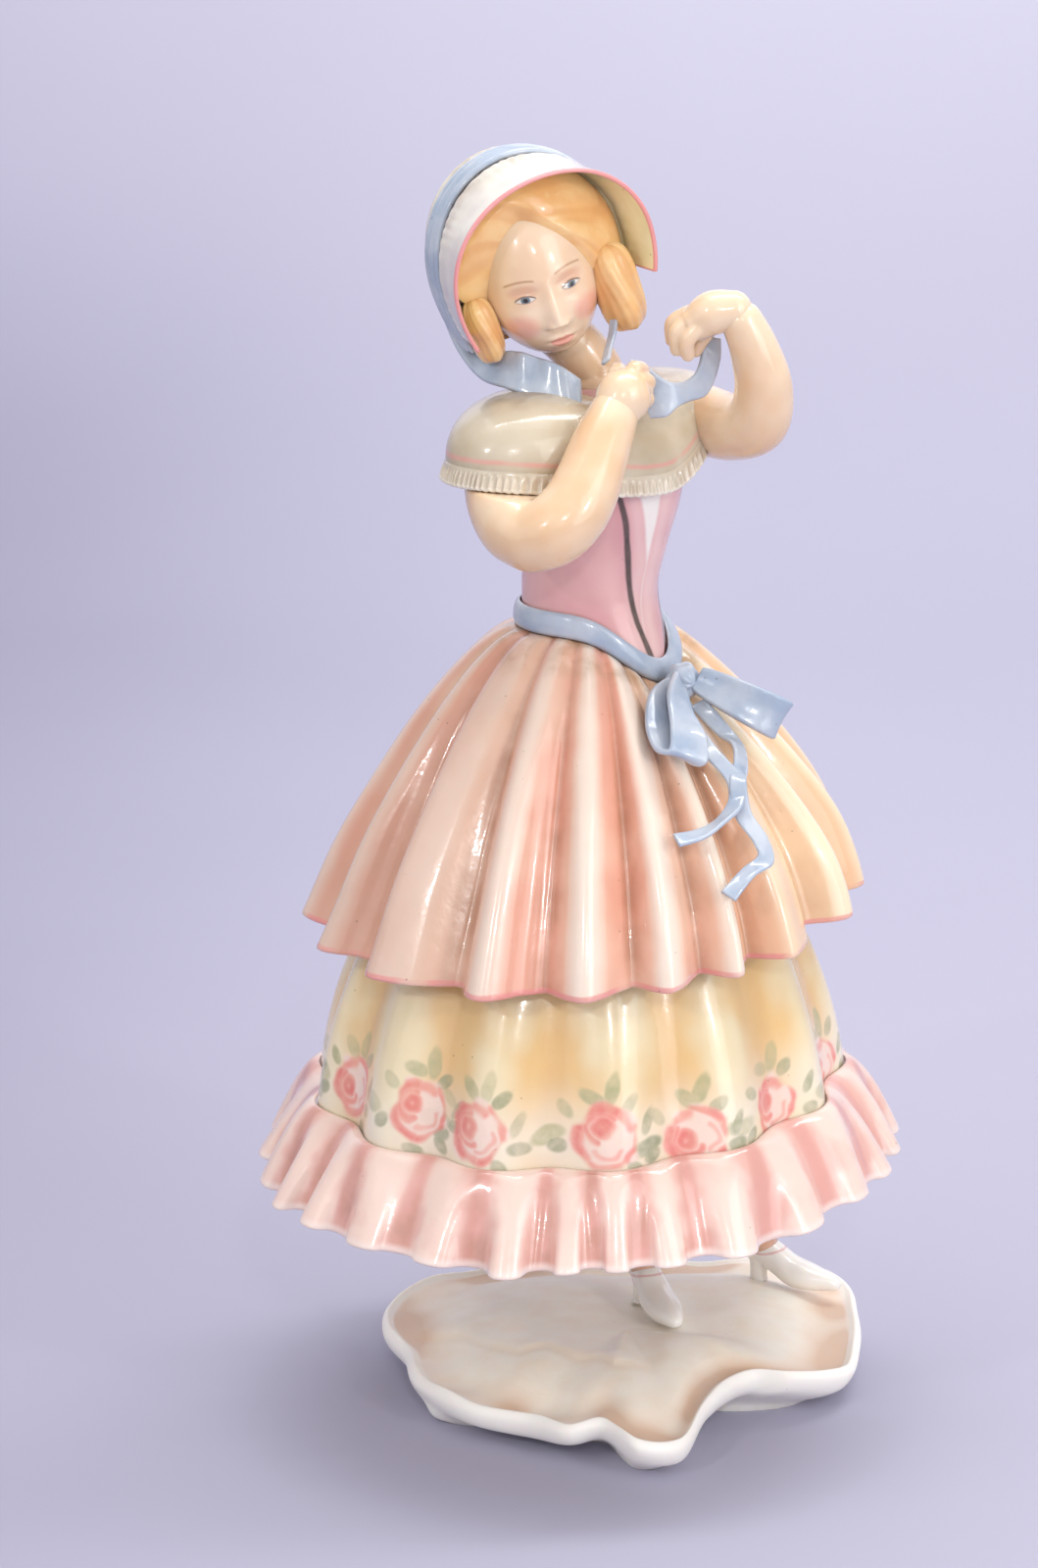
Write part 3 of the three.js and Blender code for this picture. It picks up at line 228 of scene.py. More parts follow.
def ripple(x, y, z, size, seed=0):
    """Gentle, repeatable unevenness between about -1 and 1, with waves of roughly the given size."""
    rng = np.random.default_rng(seed)
    total = 0
    for _ in range(6):
        direction = rng.normal(size=3)
        direction *= rng.uniform(0.7, 1.4) * 2 * math.pi / size / np.linalg.norm(direction)
        total = total + np.sin(direction[0] * x + direction[1] * y + direction[2] * z + rng.uniform(0, 6.28))
    return total / 3.5


# Places


def on_base(points):
    return points * MM


def stand(points):
    """From the figure's own frame to the row frame."""
    c, s = math.cos(math.radians(FIGURE_TURN)), math.sin(math.radians(FIGURE_TURN))
    turned = xyz(c * points[..., 0] - s * points[..., 1], s * points[..., 0] + c * points[..., 1], points[..., 2])
    return (turned + (0, 0, WAIST_HEIGHT)) * MM


HEAD_TILT = (
    Matrix.Rotation(math.radians(HEAD_LEAN), 3, "Y")
    @ Matrix.Rotation(math.radians(HEAD_NOD), 3, "X")
    @ Matrix.Rotation(math.radians(HEAD_TURN), 3, "Z")
)


def on_head(points):
    """From the head's own frame, with its middle at 0 and the face towards -Y, to the row frame."""
    return points @ np.array(HEAD_TILT).T * MM + stand(np.array(HEAD_CENTRE, float))


def on_bonnet(points):
    return on_head(points @ np.array(Matrix.Rotation(math.radians(BONNET_TURN), 3, "Z")).T)


# Meshes


def make_mesh(name, vertices, faces, fields):
    mesh = bpy.data.meshes.new(name)
    mesh.from_pydata(vertices.tolist(), [], faces)
    mesh.validate()
    mesh.calc_loop_triangles()
    triangles = np.empty(len(mesh.loop_triangles) * 3, np.int32)
    mesh.loop_triangles.foreach_get("vertices", triangles)
    a, b, c = vertices[triangles.reshape(-1, 3)].transpose(1, 0, 2)
    if np.einsum("ij,ij->i", a, np.cross(b, c)).sum() < 0:
        mesh.flip_normals()
    for field, values in fields.items():
        values = np.asarray(values, np.float32)
        kind, slot = ("FLOAT_VECTOR", "vector") if values.ndim == 2 else ("FLOAT", "value")
        mesh.attributes.new(field, kind, "POINT").data.foreach_set(slot, values.ravel())
    mesh.shade_smooth()
    piece = bpy.data.objects.new(name, mesh)
    bpy.context.scene.collection.objects.link(piece)
    return piece


def grid_piece(name, grid, looped=False, fields=None, place=stand):
    """A closed piece from rows of points whose columns wrap round. Rows wrap too when looped; otherwise each
    end is closed with a fan. Fields are numbers or vectors for each point, for its material to use."""
    rows, columns = grid.shape[:2]
    index = np.arange(rows * columns).reshape(rows, columns)
    low, high = (index, np.roll(index, -1, 0)) if looped else (index[:-1], index[1:])
    quads = np.stack([low, np.roll(low, -1, 1), np.roll(high, -1, 1), high], -1)
    faces = quads.reshape(-1, 4).tolist()
    vertices = grid.reshape(-1, 3)
    values = {
        field: np.asarray(value, float).reshape((rows * columns,) + np.shape(value)[2:])
        for field, value in (fields or {}).items()
    }
    if not looped:
        apexes = np.stack([grid[0].mean(0), grid[-1].mean(0)])
        vertices = np.concatenate([vertices, apexes])
        for end, ring in enumerate((index[0][::-1], index[-1])):
            faces += [[rows * columns + end, int(a), int(b)] for a, b in zip(ring, np.roll(ring, -1))]
        for field, value in values.items():
            shaped = value.reshape((rows, columns) + value.shape[1:])
            values[field] = np.concatenate([value, [shaped[0].mean(0), shaped[-1].mean(0)]])
    return make_mesh(name, place(vertices), faces, values)


def shell_rows(outer, inner, rim_steps=4):
    """Rows of a shell: down its outside, round its rim, up its inside and round its other rim."""

    def rim(start, end, outward):
        middle, half = (start + end) / 2, (start - end) / 2
        depth = np.linalg.norm(half, axis=-1, keepdims=True)
        angles = np.linspace(0, math.pi, rim_steps + 2)[1:-1]
        return [middle + math.cos(a) * half + math.sin(a) * depth * outward for a in angles]

    low_rim = rim(outer[-1], inner[-1], unit(outer[-1] - outer[-2]))
    high_rim = rim(inner[0], outer[0], unit(outer[0] - outer[1]))
    return np.concatenate([outer, low_rim, inner[::-1], high_rim])


def shell_fields(rows, rim_steps=4, **fields):
    """Fields of the outside, carried over the rims and the inside, and a field that is 1 inside."""
    done = {}
    for field, value in fields.items():
        value = np.asarray(value, float)
        low, high = [value[-1]] * rim_steps, [value[0]] * rim_steps
        done[field] = np.concatenate([value, low, value[::-1], high])
    columns = next(iter(done.values())).shape[1]
    edge = np.linspace(0, 1, rim_steps)
    inside = np.concatenate([np.zeros(rows), edge, np.ones(rows), edge[::-1]])
    done["inside"] = np.repeat(inside[:, None], columns, 1)
    return done


def normals_of(grid, closed_columns):
    """Unit normals of a grid of points."""
    along = np.gradient(grid, axis=0)
    if closed_columns:
        across = (np.roll(grid, -1, 1) - np.roll(grid, 1, 1)) / 2
    else:
        across = np.gradient(grid, axis=1)
    return unit(np.cross(across, along))


def sheet_rows(surface, thickness):
    """Rows of a thin sheet with round edges, from its middle surface. The thickness can differ by column."""
    half = np.broadcast_to(np.asarray(thickness) / 2, (1, surface.shape[1], 1))
    normal = normals_of(surface, False) * half
    front, back = surface + normal, surface - normal
    edges = []
    for side, inner in ((-1, -2), (0, 1)):
        outward = unit(surface[:, side] - surface[:, inner]) * half[:, side]
        turn = 1 if side == -1 else -1
        for angle in (60, 0, -60):
            lift = turn * math.sin(math.radians(angle)) * normal[:, side]
            edges.append(surface[:, side] + math.cos(math.radians(angle)) * outward + lift)
    right, left = edges[:3], edges[3:]
    columns = [*front.transpose(1, 0, 2), *right, *back.transpose(1, 0, 2)[::-1], *left]
    return np.stack(columns, 1)


def ribbon_surface(points, lays, breadth, rows, columns=7, cup=0.0):
    """The middle surface of a ribbon along a path, whose width lies in the given directions."""
    shares = np.linspace(0, 1, rows)
    path = curve_through(points, shares)
    lay = unit(curve_through(lays, shares))
    width = breadth(shares) if callable(breadth) else np.full(rows, float(breadth))
    across = np.linspace(-0.5, 0.5, columns)
    flat = path[:, None] + lay[:, None] * (width[:, None] * across)[..., None]
    normal = unit(np.cross(lay, np.gradient(path, axis=0)))
    return flat + normal[:, None] * (cup * (1 - (2 * across) ** 2))[None, :, None]


def ribbon_piece(name, points, lays, breadth, rows=90, cup=0.0, thickness=RIBBON_THICKNESS):
    return grid_piece(name, sheet_rows(ribbon_surface(points, lays, breadth, rows, cup=cup), thickness))


def strip_between(name, upper, lower, rows=120, columns=11, sag=0.0, ruffle=0.0):
    """A ribbon drawn between an upper and a lower edge, with a ruffle that is strongest at the upper edge."""
    shares = np.linspace(0, 1, rows)
    top, bottom = curve_through(upper, shares), curve_through(lower, shares)
    across = np.linspace(0, 1, columns)
    surface = lerp(top[:, None], bottom[:, None], across[None, :, None])
    normal = normals_of(surface, False)
    waves = np.sin(shares * 23 + 1) + 0.7 * np.sin(shares * 41 + 2)
    lift = sag * np.sin(math.pi * across)[None] + ruffle * waves[:, None] * (1 - across)[None] ** 1.5
    surface = surface + normal * lift[..., None]
    return grid_piece(name, sheet_rows(surface, RIBBON_THICKNESS))


def limb_rows(points, radii, rows=60, columns=36, round_ends=True):
    """Rows round a limb along a curve, with a radius for each of its points."""
    fine = np.linspace(0, 1, 400)
    shares = even_shares(curve_through(points, fine), rows)
    path = curve_through(points, shares)
    sizes = curve_through([(i, r, 0) for i, r in enumerate(radii)], shares)[:, 1]
    tangents = unit(np.gradient(path, axis=0))
    side = unit(np.cross(tangents[0], (0.31, 0.2, 0.93)))
    sides = []
    for tangent in tangents:
        side = unit(side - tangent * np.dot(side, tangent))
        sides.append(side)
    sides = np.array(sides)
    others = np.cross(tangents, sides)
    angles = np.linspace(0, 2 * math.pi, columns, endpoint=False)
    ring = np.cos(angles)[None, :, None] * sides[:, None] + np.sin(angles)[None, :, None] * others[:, None]
    body = path[:, None] + ring * sizes[:, None, None]
    if not round_ends:
        return body
    arcs = np.radians([20, 42, 62, 80])
    start = [path[0] - tangents[0] * sizes[0] * math.sin(a) * 0.9 + ring[0] * sizes[0] * math.cos(a) for a in arcs]
    end = [path[-1] + tangents[-1] * sizes[-1] * math.sin(a) * 0.9 + ring[-1] * sizes[-1] * math.cos(a) for a in arcs]
    return np.concatenate([np.array(start[::-1]), body, np.array(end)])


def egg_rows(centre, half, rows=48, columns=64, reshape=None):
    """Rows round an egg shape from its bottom to its top."""
    tilt = np.linspace(-90, 90, rows + 2)[1:-1, None]
    turn = np.linspace(0, 360, columns, endpoint=False)[None]
    d = xyz(cosd(tilt) * sind(turn), -cosd(tilt) * cosd(turn), sind(tilt) * np.ones_like(turn))
    scale = reshape(d) if reshape else 1
    return np.array(centre) + d * np.array(half) * np.expand_dims(scale * np.ones(d.shape[:2]), -1), d


def fuse(name, parts, voxel, smoothing, place=stand):
    """One smooth solid from several closed parts, or rows for them, that run into each other."""
    pieces = [
        part if isinstance(part, bpy.types.Object) else grid_piece(f"{name}_{i}", part, place=place)
        for i, part in enumerate(parts)
    ]
    whole = pieces[0]
    whole.name = name
    for extra in pieces[1:]:
        with bpy.context.temp_override(active_object=whole, selected_editable_objects=[whole, extra]):
            bpy.ops.object.join()
    remesh = whole.modifiers.new("remesh", "REMESH")
    remesh.mode = "VOXEL"
    remesh.voxel_size = voxel * MM
    soften = whole.modifiers.new("soften", "SMOOTH")
    soften.factor = 0.5
    soften.iterations = smoothing
    graph = bpy.context.evaluated_depsgraph_get()
    mesh = bpy.data.meshes.new_from_object(whole.evaluated_get(graph))
    mesh.shade_smooth()
    whole.modifiers.clear()
    whole.data = mesh
    return whole


def add_field(piece, name, function):
    """Stores a number for each point of a finished mesh, worked out from its place in metres."""
    mesh = piece.data
    places = np.empty(len(mesh.vertices) * 3)
    mesh.vertices.foreach_get("co", places)
    values = np.asarray(function(places.reshape(-1, 3)), np.float32)
    mesh.attributes.new(name, "FLOAT", "POINT").data.foreach_set("value", values)


# Materials: painted porcelain under a clear glaze


class Shade:
    """A number in a node tree. Combining it with others adds Math nodes."""

    def __init__(self, tree, socket):
        self.tree, self.socket = tree, socket

    def combine(self, operation, *others, clamp=False):
        node = self.tree.nodes.new("ShaderNodeMath")
        node.operation = operation
        node.use_clamp = clamp
        for entry, value in zip(node.inputs, (self, *others)):
            if isinstance(value, Shade):
                self.tree.links.new(value.socket, entry)
            else:
                entry.default_value = value
        return Shade(self.tree, node.outputs[0])

    def __add__(self, other):
        return self.combine("ADD", other)

    def __sub__(self, other):
        return self.combine("SUBTRACT", other)

    def __mul__(self, other):
        return self.combine("MULTIPLY", other)

    def __truediv__(self, other):
        return self.combine("DIVIDE", other)

    def __rsub__(self, other):
        return self * -1 + other

    __radd__ = __add__
    __rmul__ = __mul__

    def power(self, exponent):
        return self.combine("POWER", exponent)

    def size(self):
        return self.combine("ABSOLUTE")

    def wave(self):
        return self.combine("SINE")

    def least(self, other):
        return self.combine("MINIMUM", other)

    def most(self, other):
        return self.combine("MAXIMUM", other)

    def step(self, low, high):
        """0 below low and 1 above high, or the other way round where low is above high."""
        node = self.tree.nodes.new("ShaderNodeMapRange")
        node.interpolation_type = "SMOOTHSTEP"
        ends = (low, high, 0, 1) if low < high else (high, low, 1, 0)
        for entry, value in zip(node.inputs[1:5], ends):
            entry.default_value = value
        self.tree.links.new(self.socket, node.inputs[0])
        return Shade(self.tree, node.outputs[0])

    def near(self, centre, spread):
        """1 at the centre, falling smoothly to 0 at twice the spread."""
        return (self - centre).size().step(2 * spread, 0)


def linear(code):
    """A colour written as six hexadecimal digits, as linear red, green, blue and alpha."""
    shares = [int(code[i : i + 2], 16) / 255 for i in (0, 2, 4)]
    return [s / 12.92 if s <= 0.04045 else ((s + 0.055) / 1.055) ** 2.4 for s in shares] + [1]


class Brush:
    """Builds the colour nodes of one material."""

    def __init__(self, material):
        self.tree = material.node_tree
        self.place = self.tree.nodes.new("ShaderNodeTexCoord").outputs["Object"]

    def node(self, kind, **settings):
        made = self.tree.nodes.new(kind)
        for name, value in settings.items():
            setattr(made, name, value)
        return made

    def field(self, name):
        return Shade(self.tree, self.node("ShaderNodeAttribute", attribute_name=name).outputs["Fac"])

    def fields(self, name):
        """The parts of a vector field."""
        vector = self.node("ShaderNodeAttribute", attribute_name=name).outputs["Vector"]
        split = self.node("ShaderNodeSeparateXYZ")
        self.tree.links.new(vector, split.inputs[0])
        return [Shade(self.tree, output) for output in split.outputs]

    def axes(self):
        """The place in metres as three numbers."""
        split = self.node("ShaderNodeSeparateXYZ")
        self.tree.links.new(self.place, split.inputs[0])
        return [Shade(self.tree, output) for output in split.outputs]

    def noise(self, size, detail=3):
        """Soft noise from 0 to 1 with features of about a size in millimetres."""
        made = self.node("ShaderNodeTexNoise")
        made.inputs["Scale"].default_value = 1000 / size
        made.inputs["Detail"].default_value = detail
        self.tree.links.new(self.place, made.inputs["Vector"])
        return Shade(self.tree, made.outputs["Fac"])

    def cells(self, size):
        """Distance to the nearest of scattered points, in shares of a size in millimetres."""
        made = self.node("ShaderNodeTexVoronoi")
        made.inputs["Scale"].default_value = 1000 / size
        self.tree.links.new(self.place, made.inputs["Vector"])
        return Shade(self.tree, made.outputs["Distance"])

    def mix(self, under, over, share):
        """One colour laid over another. A colour is six digits or the result of another mix."""
        made = self.node("ShaderNodeMix", data_type="RGBA")
        if isinstance(share, Shade):
            self.tree.links.new(share.socket, made.inputs[0])
        else:
            made.inputs[0].default_value = share
        entries = [entry for entry in made.inputs if entry.type == "RGBA"]
        for entry, colour in zip(entries, (under, over)):
            if isinstance(colour, str):
                entry.default_value = linear(colour)
            else:
                self.tree.links.new(colour, entry)
        return [output for output in made.outputs if output.type == "RGBA"][0]

    def crevice(self, reach):
        """1 in tight corners and 0 in the open."""
        made = self.node("ShaderNodeAmbientOcclusion", samples=6)
        made.inputs["Distance"].default_value = reach * MM
        return 1 - Shade(self.tree, made.outputs["AO"])


DUST = "8a6a4c"
DEEP_DUST = "5e4430"


def glaze(name, paint, dust=0.6, speck=0.5, roughness=0.2, coat=0.6, scatter=0.15, bumps=0.012, mottle=0.06, ior=1.5):
    """Painted porcelain: paint(brush) gives the colour, and dust, specks and the glaze go over it."""
    material = bpy.data.materials.new(name)
    material.use_nodes = True
    brush = Brush(material)
    tree = material.node_tree
    shader = tree.nodes["Principled BSDF"]
    colour = paint(brush)
    colour = brush.mix(colour, DUST, brush.noise(9, 2).step(0.3, 0.75) * mottle)
    corner = brush.crevice(3.4)
    grime = (corner.step(0.3, 0.95) * brush.noise(2.2, 4).step(0.25, 0.7) * dust).least(0.85)
    colour = brush.mix(colour, DUST, grime)
    colour = brush.mix(colour, DEEP_DUST, (corner.step(0.7, 1) * brush.noise(5, 3).step(0.3, 0.7) * dust * 0.5).least(0.8))
    dots = brush.cells(3.1).step(0.07, 0.035) * brush.noise(7, 1).step(0.52, 0.6) * speck
    colour = brush.mix(colour, DEEP_DUST, dots)
    tree.links.new(colour, shader.inputs["Base Color"])
    rough = brush.noise(3, 3) * 0.05 + grime * 0.35 + roughness
    tree.links.new(rough.socket, shader.inputs["Roughness"])
    shader.inputs["IOR"].default_value = ior
    shader.inputs["Coat Weight"].default_value = coat
    shader.inputs["Coat Roughness"].default_value = 0.04
    shader.inputs["Coat IOR"].default_value = 1.52
    shader.inputs["Subsurface Weight"].default_value = scatter
    shader.inputs["Subsurface Radius"].default_value = (1.0, 0.62, 0.42)
    shader.inputs["Subsurface Scale"].default_value = 1.4 * MM
    height = brush.noise(3.5, 2) + brush.noise(0.7, 2) * 0.25
    dent = brush.node("ShaderNodeBump")
    dent.inputs["Strength"].default_value = 0.5
    dent.inputs["Distance"].default_value = bumps * MM * 10
    tree.links.new(height.socket, dent.inputs["Height"])
    tree.links.new(dent.outputs[0], shader.inputs["Normal"])
    tree.links.new(dent.outputs[0], shader.inputs["Coat Normal"])
    return material


def finish(piece, material, slot, *nodes):
    piece.data.materials.clear()
    piece.data.materials.append(material)
    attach(piece, "root")
    if nodes:
        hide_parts(*nodes)
    return piece


# The stand: a shallow dish with a scalloped rim that rests on lobed feet


def base_ring(inset, share, height, columns):
    outline = np.array(BASE_OUTLINE, float) - (*BASE_CENTRE, 0)
    edge = curve_through(outline, np.arange(columns) / columns, closed=True)
    rim = BASE_RIM_HEIGHT + edge[:, 2]
    reach = np.linalg.norm(edge[:, :2], axis=-1)
    turn = np.degrees(np.arctan2(edge[:, 0], -edge[:, 1]))
    near = np.array([bump(turn_between(at, turn), 0, BASE_FOOT_SPREAD) for at, _ in BASE_FEET])
    foot = near.max(0)
    foot_inset = np.array([deep for _, deep in BASE_FEET], float)[near.argmax(0)]
    flat = edge[:, :2] / reach[:, None] * ((reach - inset(foot, foot_inset)) * share)[:, None] + BASE_CENTRE
    return xyz(flat[:, 0], flat[:, 1], height(rim, foot) * np.ones(columns))


# The ground behind this line, as places from above, stands a little higher.
SHELF_EDGE = [(-36, 12), (-22, 6), (-16, -1), (-12.5, -4.5), (-8, -3.5), (-3, -8), (1, -9), (3.5, -13), (8, -13), (20, -16)]


def make_base(columns=540):
    def mound(share):
        return BASE_MOUND_RISE * (1 - smoothstep(share, 0.6, 0.97))

    def dish(share):
        return lambda rim, foot: lerp(BASE_RIM_HEIGHT + 1, rim - 0.2, share) + mound(share)

    stations = [
        (lambda foot, deep: lerp(14, deep, foot), 1, lambda rim, foot: 0),
        (lambda foot, deep: lerp(12.5, deep - 1.6, foot), 1, lambda rim, foot: lerp(2, 0.9, foot)),
        (lambda foot, deep: 1.3, 1, lambda rim, foot: rim - 3.2),
        (lambda foot, deep: 0, 1, lambda rim, foot: rim - 0.4),
        (lambda foot, deep: 0.9, 1, lambda rim, foot: rim + BASE_LIP_RISE),
        (lambda foot, deep: 2.4, 1, lambda rim, foot: rim + 0.3),
        *[(lambda foot, deep: 2.4, share, dish(share)) for share in (0.9, 0.75, 0.55, 0.3, 0.04)],
    ]
    rings = [base_ring(*station, columns) for station in stations]
    underside = base_ring(lambda foot, deep: lerp(14, deep, foot), 0.02, lambda rim, foot: 0, columns)
    rows = 151
    grid = curve_through(rings, np.linspace(0, 1, rows))
    inward = np.linspace(0, 10, rows)[:, None] * np.ones((1, columns))
    x, y = grid[..., 0], grid[..., 1]
    top = smoothstep(inward, 5, 7)
    grid[..., 2] += 0.6 * bump(inward, 4.6, 1.7) * ripple(x, y, 0, 12, 4)
    grid[..., 2] += top * 0.3 * ripple(x, y, 0, 26, 5)
    behind = y - np.interp(x, *zip(*SHELF_EDGE)) - 0.9 * ripple(x, y, 0, 9, 8)
    shelf = smoothstep(behind, -1.6, 0.8) * (1 - smoothstep(x, 2, 14)) * smoothstep(inward, 5.6, 6.4)
    grid[..., 2] += 0.6 * shelf * (1 - smoothstep(behind, 0, 9))
    grid[..., 2] = np.maximum(grid[..., 2], 0)
    grid[0, :, 2] = 0
    grid = np.concatenate([underside[None], grid])
    fields = {
        "inward": np.concatenate([np.zeros((1, columns)), inward]),
        "lip": np.concatenate([np.zeros((1, columns)), bump(behind, -1, 1.4) * top * (1 - smoothstep(x, 2, 14))]),
    }
    return grid_piece("scalloped_base", grid, fields=fields, place=on_base)


def base_paint(brush):
    inward, lip = brush.field("inward"), brush.field("lip")
    stain = brush.noise(6, 3)
    dish = brush.mix("fdf6ea", "f9eddd", stain.step(0.3, 0.75))
    colour = brush.mix("fcf7f0", dish, inward.step(4.8, 5.5))
    colour = brush.mix(colour, "cfb598", lip * 0.25)
    tan = inward.step(4.7, 5.2) * inward.step(7.2, 5) * (0.25 + brush.noise(18, 1).step(0.4, 0.62))
    return brush.mix(colour, "d2a480", tan.least(0.62))


# Shoes and legs


def shoe_place(shoe):
    turn = math.radians(shoe["heading"])
    c, s = math.cos(turn), math.sin(turn)

    def place(points):
        x, y, z = points[..., 0], points[..., 1], points[..., 2]
        level = DISH_HEIGHT + 0.5 - shoe["sink"]
        return xyz(c * x - s * y + shoe["toe"][0], s * x + c * y + shoe["toe"][1], z + level) * MM

    return place


def make_shoe(name, shoe):
    half = SHOE_WIDTH / 2
    stations = [
        (0, 0.16, 0.7, 1.7), (0.03, 0.34, 0.35, 2.3), (0.1, 0.55, 0.2, 3), (0.3, 0.95, 0, 4.2), (0.5, 1, 0.3, 5.4),
        (0.68, 0.85, 2, 7.6), (0.84, 0.75, 3.6, 8.6), (0.97, 0.62, 4.2, 8.2), (1, 0.3, 5, 7.4),
    ]
    angles = np.linspace(0, 2 * math.pi, 36, endpoint=False)
    rings = []
    for share, width, sole, top in stations:
        rise = np.sin(angles)
        up = np.clip(rise * np.where(rise < 0, 1.25, 1), -1, 1)
        rings.append(xyz(-width * half * np.cos(angles), share * SHOE_LENGTH, (sole + top) / 2 + (top - sole) / 2 * up))
    upper = curve_through(rings, np.linspace(0, 1, 60))
    levels = np.linspace(-2, SHOE_HEEL_HEIGHT - 0.5, 12)
    waist = 1.55 + 0.5 * ((levels - 1.5) / 4) ** 2
    turn = np.linspace(0, 360, 32, endpoint=False)
    heel = xyz(
        waist[:, None] * sind(turn)[None],
        0.86 * SHOE_LENGTH - waist[:, None] * cosd(turn)[None],
        levels[:, None] * np.ones((1, 32)),
    )
    heel[..., 2] = np.maximum(heel[..., 2], 0)
    piece = fuse(name, [upper, heel], 0.22, 6, shoe_place(shoe))
    opening = np.array(shoe_place(shoe)(np.array([0, 0.8 * SHOE_LENGTH, 9.2])))
    add_field(piece, "opening", lambda p: np.linalg.norm((p - opening) / MM * (1, 1, 1.25), axis=-1))
    return piece


def make_leg(name, shoe, side):
    heading = math.radians(shoe["heading"])
    back = 0.8 * SHOE_LENGTH
    toe = shoe["toe"]
    level = DISH_HEIGHT + 7 - shoe["sink"]
    ankle = np.array([toe[0] - back * math.sin(heading), toe[1] + back * math.cos(heading), level])
    turn = math.radians(FIGURE_TURN)
    top = WAIST_HEIGHT - UNDERSKIRT_TOP_DROP - UNDERSKIRT_WALL - SEAT_GAP - 1.5
    hip = np.array([side * HIP_SPREAD * math.cos(turn), side * HIP_SPREAD * math.sin(turn), top])
    points = [lerp(ankle, hip, share) for share in (0, 0.08, 0.28, 0.45)] + [hip - (0, 0, 30), hip]
    radii = [ANKLE_RADIUS, ANKLE_RADIUS * 1.05, CALF_RADIUS, CALF_RADIUS * 0.95, CALF_RADIUS * 1.2, CALF_RADIUS * 1.25]
    return grid_piece(name, limb_rows(points, radii, 60, 28, round_ends=False), place=on_base)


def shoe_paint(brush):
    opening = brush.field("opening")
    line = opening.near(5.1, 0.22)
    return brush.mix("faf7f1", "e2a3a2", line * 0.7)


def stocking_paint(brush):
    return brush.mix("e3b79d", "c98f74", brush.noise(5, 3).step(0.4, 0.8) * 0.6)


# The waist line dips to a point near the front, where the bodice reaches over the skirts


def dip(turn):
    return ((1 + cosd(turn - BODICE_TURN)) / 2) ** 8


def waist_height(turn):
    return -BASQUE_DROP * dip(turn)


def waist_radius(turn):
    return WAIST_RADIUS + BASQUE_REACH * dip(turn)


def waist_flare(turn):
    return WAIST_FLARE * bump(turn_between(WAIST_FLARE_SIDE, turn), 0, 42)


def waist_point(turn, radius, z, share=1.0):
    return around(turn, radius, z) + xyz(WAIST_SHIFT[0] * share, WAIST_SHIFT[1] * share, 0)


# Skirts


def bell(share, mix):
    return mix * np.sin(share * math.pi / 2) + (1 - mix) * share


def hang(turn, radius, z):
    """The skirts hang a little towards her right and back, so their axis drifts with the drop."""
    share = np.maximum(-z, 0) / SKIRT_DRIFT_DROP
    x, y = (lerp(shift, drift, share) for shift, drift in zip(WAIST_SHIFT, SKIRT_DRIFT))
    return around(turn, radius, z) + xyz(x, y, 0)


def overskirt_top(turn):
    return waist_height(turn) - SASH_WIDTH / 2


def overskirt_hem(turn):
    return -OVERSKIRT_LENGTH + OVERSKIRT_TILT * cosd(turn - SKIRT_HIGH_SIDE)


CRESTS = np.array(OVERSKIRT_CRESTS, float)


def pleat_share(turn):
    """How far along its pleat an angle lies: 0 and 1 on the crests beside it, 0.5 in the valley."""
    wrapped = (turn - CRESTS[0]) % 360 + CRESTS[0]
    ends = np.append(CRESTS, CRESTS[0] + 360)
    pleat = np.clip(np.searchsorted(ends, wrapped, side="right") - 1, 0, len(CRESTS) - 1)
    return (wrapped - ends[pleat]) / (ends[pleat + 1] - ends[pleat]), pleat


def pleat_wave(turn, share):
    """The pleats' outline, from 1 on a crest to -1 in a valley. The crests are narrow and lean over."""
    along, pleat = pleat_share(turn)
    lean = 0.1 * np.sin(pleat * 2.4) - 0.07
    skewed = along + lean * (1 - np.cos(2 * math.pi * along)) / 2
    crest = (1 + np.cos(2 * math.pi * skewed)) / 2
    wave = 2 * crest ** (1 + 0.5 * smoothstep(share, 0.05, 0.7)) - 1
    return np.where(wave < 0, 1.25 * wave, wave)


def overskirt_point(turn, share, wall=0.0, fine=0.0):
    roundness = 0.3 + 0.3 * cosd(turn - FIGURE_TURN)
    spread = lerp(share**0.64, np.sin(share * math.pi / 2), roundness)
    fold = OVERSKIRT_FOLD * (0.25 + 0.75 * smoothstep(share, 0, 0.8)) * pleat_wave(turn, share)
    radius = lerp(waist_radius(turn) + waist_flare(turn) + 0.6, OVERSKIRT_RADIUS, spread) + fold - wall
    along, pleat = pleat_share(turn)
    crease = fine * lerp(0.2, 1, smoothstep(share, 0, 0.4)) * bump(along, 0.62 - 0.06 * np.sin(pleat * 2.4), 0.09)
    radius = radius - crease * 1.1 + fine * 0.2 * ripple(turn * 0.5, share * 30, 0, 14, 3) * share
    z = lerp(overskirt_top(turn), overskirt_hem(turn), share) - wall * 0.5 * (1 - share)
    return hang(turn, radius, z)


